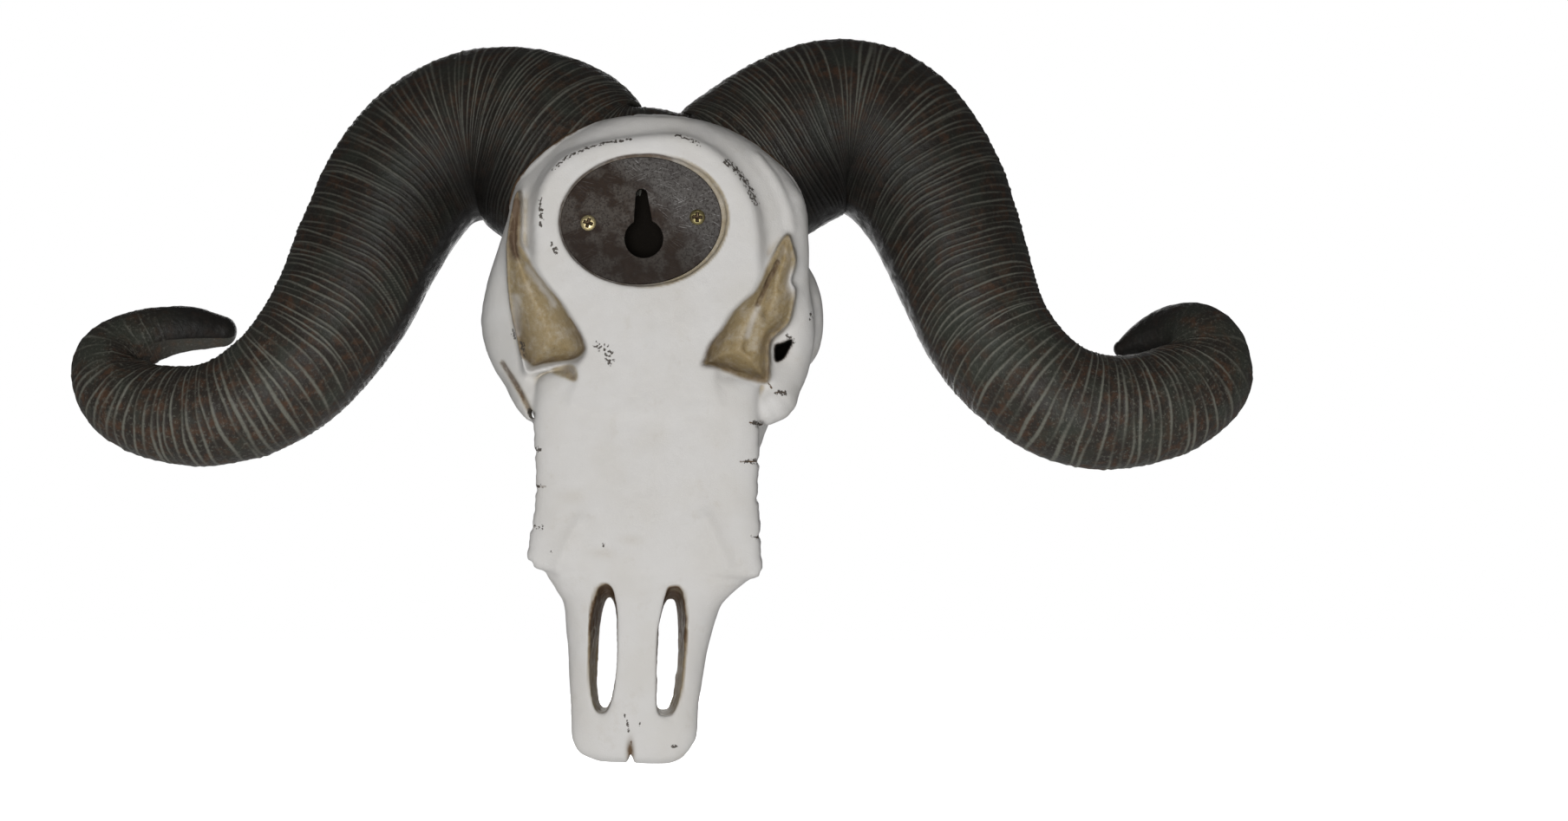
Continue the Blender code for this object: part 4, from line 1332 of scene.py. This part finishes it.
def plate_curve():
    """The plate's outline and its holes as a filled curve, with slightly rounded edges."""
    curve = bpy.data.curves.new("plate_outline", "CURVE")
    curve.dimensions = "2D"
    curve.fill_mode = "BOTH"
    curve.extrude = PLATE_THICKNESS / 2 - PLATE_EDGE
    curve.bevel_depth = PLATE_EDGE
    curve.bevel_resolution = 3
    curve.offset = -PLATE_EDGE
    oval = [
        (PLATE_MIDDLE[0] + PLATE_HALF[0] * x, PLATE_MIDDLE[1] + PLATE_HALF[1] * z)
        for x, z in circle((0, 0), 1.0, 160)
    ]
    holes = [circle((side * SCREW_X, 0), SCREW_HOLE_RADIUS, 24) for side in (1, -1)]
    for outline in (oval, keyhole(), *holes):
        line = curve.splines.new("POLY")
        line.points.add(len(outline) - 1)
        for point, (x, z) in zip(line.points, outline):
            point.co = (x, z, 0, 1)
        line.use_cyclic_u = True
    return curve


def make_plate():
    """The curve as a mesh, turned into the plate's plane."""
    holder = add_object("plate_outline", plate_curve())
    graph = bpy.context.evaluated_depsgraph_get()
    made = bpy.data.meshes.new_from_object(holder.evaluated_get(graph))
    bpy.data.objects.remove(holder)
    points = np.empty(len(made.vertices) * 3, np.float32)
    made.vertices.foreach_get("co", points)
    points = in_plate_plane(points.reshape(-1, 3).astype(float), PLATE_BACK - PLATE_THICKNESS / 2)
    made.vertices.foreach_set("co", (points * MM).astype(np.float32).ravel())
    made.flip_normals()
    made.update()
    made.name = "hanger_steel"
    return add_object("hanger_steel", made)


def make_screw(name, middle, turn):
    """A pan head with a cross recess: rings of height round its middle."""
    radii = SCREW_RADIUS * np.linspace(0.0, 1.0, 26)[1:, None]
    angle = np.linspace(0, math.tau, SCREW_SIDES, endpoint=False)
    x = radii * np.cos(angle)
    z = radii * np.sin(angle)
    u = np.abs(x * math.cos(turn) + z * math.sin(turn))
    v = np.abs(z * math.cos(turn) - x * math.sin(turn))
    one_arm = np.maximum(u - CROSS_ARM, v - CROSS_HALF_WIDTH)
    arms = np.minimum(one_arm, np.maximum(v - CROSS_ARM, u - CROSS_HALF_WIDTH))
    crown = HEAD_HEIGHT * np.sqrt(np.maximum(1 - (radii / (SCREW_RADIUS * 1.02)) ** 2.6, 0.0))
    shallower = 1 - 0.27 * radii * (radii < CROSS_ARM)
    lift = crown - CROSS_DEPTH * smooth_step(0.08, -0.10, arms) * shallower
    top = np.stack([x, z, lift], axis=-1).reshape(-1, 3)
    foot = np.stack([x[-1], z[-1], np.full(SCREW_SIDES, HEAD_FOOT)], axis=1)
    ends = [[0, 0, HEAD_HEIGHT - CROSS_DEPTH], [0, 0, HEAD_FOOT]]
    points = np.concatenate([top, foot, ends]) + (middle, 0, 0)
    recess = np.concatenate([smooth_step(0.15, -0.02, arms).ravel(), np.zeros(SCREW_SIDES), [1.0, 0.0]])
    quads, fans = tube_faces(len(radii) + 1, SCREW_SIDES)
    quads = np.roll(quads, -1, axis=1)  # so each face splits into triangles along its other diagonal
    return mesh_object(name, in_plate_plane(points, PLATE_BACK), [quads, fans], {"recess": recess})


# ---------------------------------------------------------------- materials


class Paint:
    """Builds one node material step by step, with lengths in mm."""

    def __init__(self, name):
        self.material = bpy.data.materials.new(name)
        self.material.use_nodes = True
        self.tree = self.material.node_tree
        self.shader = self.tree.nodes["Principled BSDF"]
        self.place = self.scale(self.node("ShaderNodeTexCoord").outputs["Object"], 1 / MM)

    def node(self, kind, **settings):
        made = self.tree.nodes.new(kind)
        for key, value in settings.items():
            setattr(made, key, value)
        return made

    def feed(self, socket, value):
        """Links an output to a socket, or sets the socket to a number or a colour."""
        if hasattr(value, "is_output"):
            self.tree.links.new(value, socket)
        elif isinstance(value, tuple) and socket.type == "RGBA":
            socket.default_value = (*value, 1.0)
        else:
            socket.default_value = value

    def filled(self, made, output, **inputs):
        """A node's output, once its inputs are fed; a name's underscore stands for a space."""
        for label, value in inputs.items():
            self.feed(made.inputs[label.replace("_", " ")], value)
        return made.outputs[output]

    def math(self, operation, a, b=0.0, c=0.0, clamp=False):
        made = self.node("ShaderNodeMath", operation=operation, use_clamp=clamp)
        for socket, value in zip(made.inputs, (a, b, c)):
            self.feed(socket, value)
        return made.outputs[0]

    def times(self, a, b, clamp=False):
        return self.math("MULTIPLY", a, b, clamp=clamp)

    def ramp(self, value, low, high, start=0.0, end=1.0):
        """From start at the low value to end at the high one, with a smooth bend."""
        made = self.node("ShaderNodeMapRange", interpolation_type="SMOOTHSTEP")
        return self.filled(made, 0, Value=value, From_Min=low, From_Max=high, To_Min=start, To_Max=end)

    def mix(self, factor, a, b):
        """Colour a where the factor is 0, and colour b where it is 1."""
        made = self.node("ShaderNodeMix", data_type="RGBA")
        for socket, value in ((0, factor), (6, a), (7, b)):
            self.feed(made.inputs[socket], value)
        return made.outputs[2]

    def scale(self, vector, factor):
        made = self.node("ShaderNodeVectorMath", operation="SCALE")
        self.feed(made.inputs[0], vector)
        return self.filled(made, "Vector", Scale=factor)

    def attribute(self, name):
        return self.node("ShaderNodeAttribute", attribute_name=name).outputs["Fac"]

    def noise(self, cell, detail=2.0, roughness=0.5, place=None):
        """Noise about 0.5, with features one cell across."""
        made = self.node("ShaderNodeTexNoise")
        shape = {"Scale": 1 / cell, "Detail": detail, "Roughness": roughness}
        return self.filled(made, "Fac", Vector=place or self.place, **shape)

    def turned_noise(self, cell, degrees, stretch):
        """Noise drawn out into streaks that lie at an angle in the wall's plane."""
        made = self.node("ShaderNodeVectorRotate", rotation_type="Y_AXIS")
        turned = self.filled(made, 0, Vector=self.place, Angle=math.radians(degrees))
        scaled = self.node("ShaderNodeVectorMath", operation="MULTIPLY")
        self.feed(scaled.inputs[0], turned)
        self.feed(scaled.inputs[1], stretch)
        return self.noise(cell, 3.0, place=scaled.outputs[0])

    def bump(self, height, distance, strength):
        made = self.node("ShaderNodeBump")
        normal = self.filled(made, 0, Distance=distance * MM, Strength=strength, Height=height)
        self.feed(self.shader.inputs["Normal"], normal)

    def finish(self, colour, roughness, metallic=0.0, specular=0.5):
        """Feeds the shader; a number is set on its own socket."""
        looks = {"Base Color": colour, "Roughness": roughness, "Metallic": metallic}
        for label, value in {**looks, "Specular IOR Level": specular}.items():
            self.feed(self.shader.inputs[label], value)
        return self.material


BONE_LIGHT = (0.67, 0.655, 0.635)
BONE_WARM = (0.645, 0.625, 0.595)
SAND = (0.335, 0.26, 0.14)
UMBER = (0.12, 0.075, 0.042)
# the grey of the painted shade on the sides of the head
SIDE_SHADE_GREY = (0.27, 0.275, 0.27)
FLECK_GREY = (0.06, 0.048, 0.038)
# near black for the painted shade in the holes
HOLE_SHADE_BLACK = (0.006, 0.0045, 0.003)


def bone_ground(p):
    """Off-white paint, a little warmer and smudged in places."""
    colour = p.mix(p.ramp(p.noise(14.0, 3.0), 0.35, 0.7), BONE_LIGHT, BONE_WARM)
    smudge = p.times(p.ramp(p.noise(6.0, 5.0, 0.7), 0.56, 0.72), 0.10)
    return p.mix(smudge, colour, SAND)


def bone_wash(p, colour, blotch):
    """Sand and umber wash in the hollows and where the marks say."""
    hollow = p.ramp(p.attribute("hollow"), 0.06, 0.24)
    deep = p.ramp(p.attribute("deep"), 0.16, 0.40)
    wash = p.times(p.math("MAXIMUM", hollow, deep), p.ramp(blotch, 0.2, 0.7, 0.3, 0.7))
    mottle = p.noise(1.3, 4.0, 0.7)
    chalky = p.ramp(p.noise(3.6, 4.0, 0.65), 0.42, 0.68, 1.0, 0.76)
    patchy = p.times(p.ramp(mottle, 0.25, 0.5, 0.8, 1.0), chalky)
    stain = p.times(p.attribute("stain"), patchy)
    colour = p.mix(p.math("MAXIMUM", wash, stain, clamp=True), colour, SAND)
    umber = p.times(p.attribute("brown"), p.ramp(blotch, 0.3, 0.6, 0.45, 1.0), clamp=True)
    specks = p.times(p.attribute("stain"), p.ramp(mottle, 0.52, 0.72, 0.0, 0.35))
    return p.mix(p.math("MAXIMUM", umber, specks), colour, UMBER)


def bone_lines(p, colour, blotch, speck):
    """Cracks, flecks, painted shade on the sides, the seams at the horns, and painted shade, near black,
    in the holes.
    """
    edge = p.math("ADD", p.attribute("crack"), p.times(speck, 0.5))
    colour = p.mix(p.ramp(edge, 0.60, 0.38), colour, UMBER)
    ragged = p.ramp(p.noise(0.9, 2.0, 0.55), 0.36, 0.62, 0.0, 1.1)
    patch = p.math("ADD", p.attribute("fleck"), ragged)
    colour = p.mix(p.times(p.ramp(patch, 1.15, 0.7), 0.95), colour, FLECK_GREY)
    # Painted shade on the sides of the head.
    colour = p.mix(p.times(p.attribute("side"), 0.38), colour, SIDE_SHADE_GREY)
    seam = p.math("ADD", p.attribute("seam"), p.times(blotch, 1.2))
    colour = p.mix(p.ramp(seam, 2.25, 1.75), colour, UMBER)
    # Painted shade, near black, in the keyhole's pocket and the right hole.
    return p.mix(p.attribute("hole_shade"), colour, HOLE_SHADE_BLACK)


def bone_paint():
    """White paint over resin, with brown wash left in the hollows and cracks, and painted shade on the
    sides of the head and in the holes.
    """
    p = Paint("bone_paint")
    blotch = p.noise(3.2, 4.0, 0.6)
    speck = p.noise(0.8, 3.0, 0.7)
    colour = bone_wash(p, bone_ground(p), blotch)
    colour = bone_lines(p, colour, blotch, speck)
    p.bump(p.math("ADD", p.times(speck, 0.5), p.noise(0.35, 2.0)), 0.12, 0.5)
    rough = p.math("MAXIMUM", p.ramp(blotch, 0.3, 0.7, 0.5, 0.66), p.attribute("hole_shade"))
    return p.finish(colour, rough, specular=0.2)


HORN_GROUND = (0.023, 0.019, 0.0155)
HORN_GROUND_WARM = (0.055, 0.030, 0.018)
HORN_GROUND_GREEN = (0.030, 0.032, 0.025)
HORN_CREST = (0.125, 0.124, 0.103)
# the dark of the smooth parts, partly unridged paint and partly painted shade
HORN_BARE_AND_SHADED = (0.010, 0.0095, 0.009)
# near black for the painted shade on the horn's inner side
HORN_SHADE = (0.004, 0.0035, 0.003)


def horn_paint():
    """Dark brown paint with a grey wash dry-brushed over the ridges, and painted light and shade: darker
    near the skull and over the flanks, lighter on the lower curls and the left tip's facet.
    """
    p = Paint("horn_paint")
    broad = p.noise(11.0, 3.0)
    patch = p.noise(3.5, 4.0, 0.65)
    grain = p.noise(0.9, 4.0, 0.75)
    colour = p.mix(p.ramp(patch, 0.45, 0.68), HORN_GROUND, HORN_GROUND_WARM)
    colour = p.mix(p.ramp(broad, 0.45, 0.7), colour, HORN_GROUND_GREEN)
    along = p.attribute("along")
    paler = p.math("ADD", p.ramp(along, 125, 185, 0.0, 1.0), p.ramp(along, 48, 20, 0.0, 0.7))
    dust = p.times(p.ramp(grain, 0.52, 0.68), p.math("MULTIPLY_ADD", paler, 0.35, 0.22))
    colour = p.mix(dust, colour, HORN_CREST)
    worn = p.ramp(grain, 0.28, 0.55, 0.5, 1.0)
    crest = p.times(p.ramp(p.attribute("ridge"), 0.08, 0.75), worn)
    colour = p.mix(crest, colour, HORN_CREST)
    # Painted light on the left tip's planed facet, as from light below.
    colour = p.mix(p.times(p.attribute("facet"), 0.30), colour, HORN_CREST)
    # The smooth strip and the tip are darker: partly unridged paint, partly painted shade.
    colour = p.mix(p.times(p.attribute("bare"), 0.85), colour, HORN_BARE_AND_SHADED)
    # Painted shade, near black, on the side that faces the skull.
    colour = p.mix(p.times(p.attribute("shade"), 0.92), colour, HORN_SHADE)
    # Painted shade over the flanks and painted light on the lower curls, by distance along the horn.
    light_and_shade_tone = p.math("ADD", p.ramp(along, 70, 110, 0.84, 0.68), p.ramp(along, 112, 165, 0.0, 0.58))
    colour = p.scale(colour, light_and_shade_tone)
    p.bump(p.math("ADD", grain, p.times(p.noise(0.4, 2.0), 0.5)), 0.22, 0.7)
    return p.finish(colour, p.ramp(patch, 0.3, 0.7, 0.38, 0.6), specular=0.2)


STEEL_DARK = (0.012, 0.0075, 0.005)
STEEL_LIGHT = (0.043, 0.037, 0.032)
STEEL_SCUFFED = (0.105, 0.107, 0.108)
STEEL_SCRATCHED = (0.22, 0.215, 0.21)
STEEL_SPOT = (0.010, 0.007, 0.006)
BRASS_TARNISHED = (0.10, 0.075, 0.04)
BRASS_RECESS = (0.03, 0.018, 0.008)


def steel_paint():
    """Dark blued steel, scuffed more towards one corner."""
    p = Paint("plate_steel")
    cloud = p.noise(6.5, 4.0, 0.6)
    speck = p.noise(0.7, 4.0, 0.75)
    lines = [p.turned_noise(0.42, turn, (0.06, 1.0, 1.5)) for turn in (12, 38, -24)]
    scratch = p.math("MAXIMUM", lines[0], p.math("MAXIMUM", lines[1], lines[2]))
    colour = p.mix(p.ramp(cloud, 0.42, 0.60), STEEL_DARK, STEEL_LIGHT)
    split = p.node("ShaderNodeSeparateXYZ")
    p.feed(split.inputs[0], p.place)
    across = p.times(split.outputs["X"], -0.06)
    corner = p.math("MULTIPLY_ADD", split.outputs["Z"], 0.05, across)
    scuffed = p.ramp(p.math("ADD", corner, p.math("SUBTRACT", cloud, 0.5)), 0.1, 0.8)
    colour = p.mix(p.times(scuffed, 0.25), colour, STEEL_SCUFFED)
    wear = p.times(p.ramp(scratch, 0.62, 0.74), p.math("MULTIPLY_ADD", scuffed, 0.5, 0.12))
    colour = p.mix(wear, colour, STEEL_SCRATCHED)
    colour = p.scale(colour, p.ramp(split.outputs["Z"], -14, 4, 0.66, 1.15))
    colour = p.mix(p.times(p.ramp(speck, 0.46, 0.62), 0.7), colour, STEEL_SPOT)
    p.bump(lines[0], 0.03, 0.4)
    return p.finish(colour, p.ramp(cloud, 0.3, 0.7, 0.40, 0.55), metallic=0.75, specular=0.2)


def brass_paint(name, bright, tarnish):
    """Brass plating, duller in patches and dark in the cross."""
    p = Paint(name)
    cloud = p.noise(1.4, 3.0)
    colour = p.mix(p.ramp(cloud, 0.4, 0.75, 0.0, tarnish), bright, BRASS_TARNISHED)
    colour = p.mix(p.attribute("recess"), colour, BRASS_RECESS)
    p.bump(p.noise(0.25, 2.0), 0.02, 0.4)
    return p.finish(colour, p.ramp(cloud, 0.3, 0.7, 0.30, 0.45), metallic=0.8)


# ---------------------------------------------------------------- stage


WORLD_GLOW = 0.10
FLOOR_GLOW = 0.20
CAMERA_REACH = 50.0
FLOOR_HALF = 1.6
FLOOR_LEVEL = -0.30
LIGHT_AIM = (0.0, 0.0, -0.04)
LIGHTS = (  # name, place, size and power
    ("key", (0.0, 0.94, -0.13), 0.42, 6.4),
    ("front", (0.12, -1.15, 0.12), 0.8, 8.0),
)


def add_camera():
    """A camera at the photograph's viewpoint, square to the wall."""
    data = bpy.data.cameras.new("camera")
    data.sensor_width = SENSOR
    data.lens = FOCAL_PIXELS / PHOTO_WIDTH * SENSOR
    data.clip_end = CAMERA_REACH
    camera = add_object("camera", data)
    camera.location = [value * MM for value in CAMERA]
    camera.rotation_euler = (math.pi / 2, 0, math.pi)
    bpy.context.scene.camera = camera


def glow_for_camera(tree, socket, level):
    """A white backdrop's strength: plain white to the camera, and dimmer as a light on the object."""
    seen = tree.nodes.new("ShaderNodeLightPath")
    strength = tree.nodes.new("ShaderNodeMapRange")
    tree.links.new(seen.outputs["Is Camera Ray"], strength.inputs["Value"])
    strength.inputs["To Min"].default_value = level
    strength.inputs["To Max"].default_value = 1.0
    tree.links.new(strength.outputs[0], socket)


def add_floor():
    """A white floor a little below the ornament."""
    mesh = bpy.data.meshes.new("floor")
    corners = [(FLOOR_HALF * x, FLOOR_HALF * y) for x, y in ((-1, -1), (1, -1), (1, 1), (-1, 1))]
    mesh.from_pydata([(x, y, FLOOR_LEVEL) for x, y in corners], [], [(0, 1, 2, 3)])
    material = bpy.data.materials.new("floor_white")
    material.use_nodes = True
    shader = material.node_tree.nodes["Principled BSDF"]
    shader.inputs["Base Color"].default_value = (0.5, 0.5, 0.5, 1)
    shader.inputs["Roughness"].default_value = 0.9
    shader.inputs["Emission Color"].default_value = (1, 1, 1, 1)
    glow_for_camera(material.node_tree, shader.inputs["Emission Strength"], FLOOR_GLOW)
    mesh.materials.append(material)
    add_object("floor", mesh)


def add_light(name, place, size, power):
    """A square soft light, aimed at the middle of the head."""
    data = bpy.data.lights.new(name, "AREA")
    data.shape = "SQUARE"
    data.size = size
    data.energy = power
    light = add_object(name, data)
    light.location = place
    x, y, z = np.subtract(LIGHT_AIM, place)
    tilt = math.pi / 2 + math.atan2(z, math.hypot(x, y))
    light.rotation_euler = (tilt, 0, math.atan2(y, x) - math.pi / 2)


def add_world():
    """A white world."""
    world = bpy.data.worlds.new("studio")
    bpy.context.scene.world = world
    world.use_nodes = True
    background = world.node_tree.nodes["Background"]
    background.inputs["Color"].default_value = (1, 1, 1, 1)
    glow_for_camera(world.node_tree, background.inputs["Strength"], WORLD_GLOW)


def main():
    bpy.context.scene.view_settings.view_transform = "Standard"
    add_camera()
    add_world()
    add_floor()
    for light in LIGHTS:
        add_light(*light)
    horn = horn_paint()
    settle(make_skull(), bone_paint(), "skull")
    settle(make_horn("horn_left_ridged", HORN_LEFT, 1, seed=11), horn, "horn_left")
    settle(make_horn("horn_right_ridged", HORN_RIGHT, -1, seed=29), horn, "horn_right")
    settle(make_plate(), steel_paint(), "hanger_plate")
    bright = brass_paint("brass_bright", (0.60, 0.50, 0.27), tarnish=0.3)
    dull = brass_paint("brass_dull", (0.26, 0.22, 0.10), tarnish=0.8)
    settle(make_screw("screw_left_head", SCREW_X, turn=0.35), bright, "screw_left")
    settle(make_screw("screw_right_head", -SCREW_X, turn=0.1), dull, "screw_right")


main()
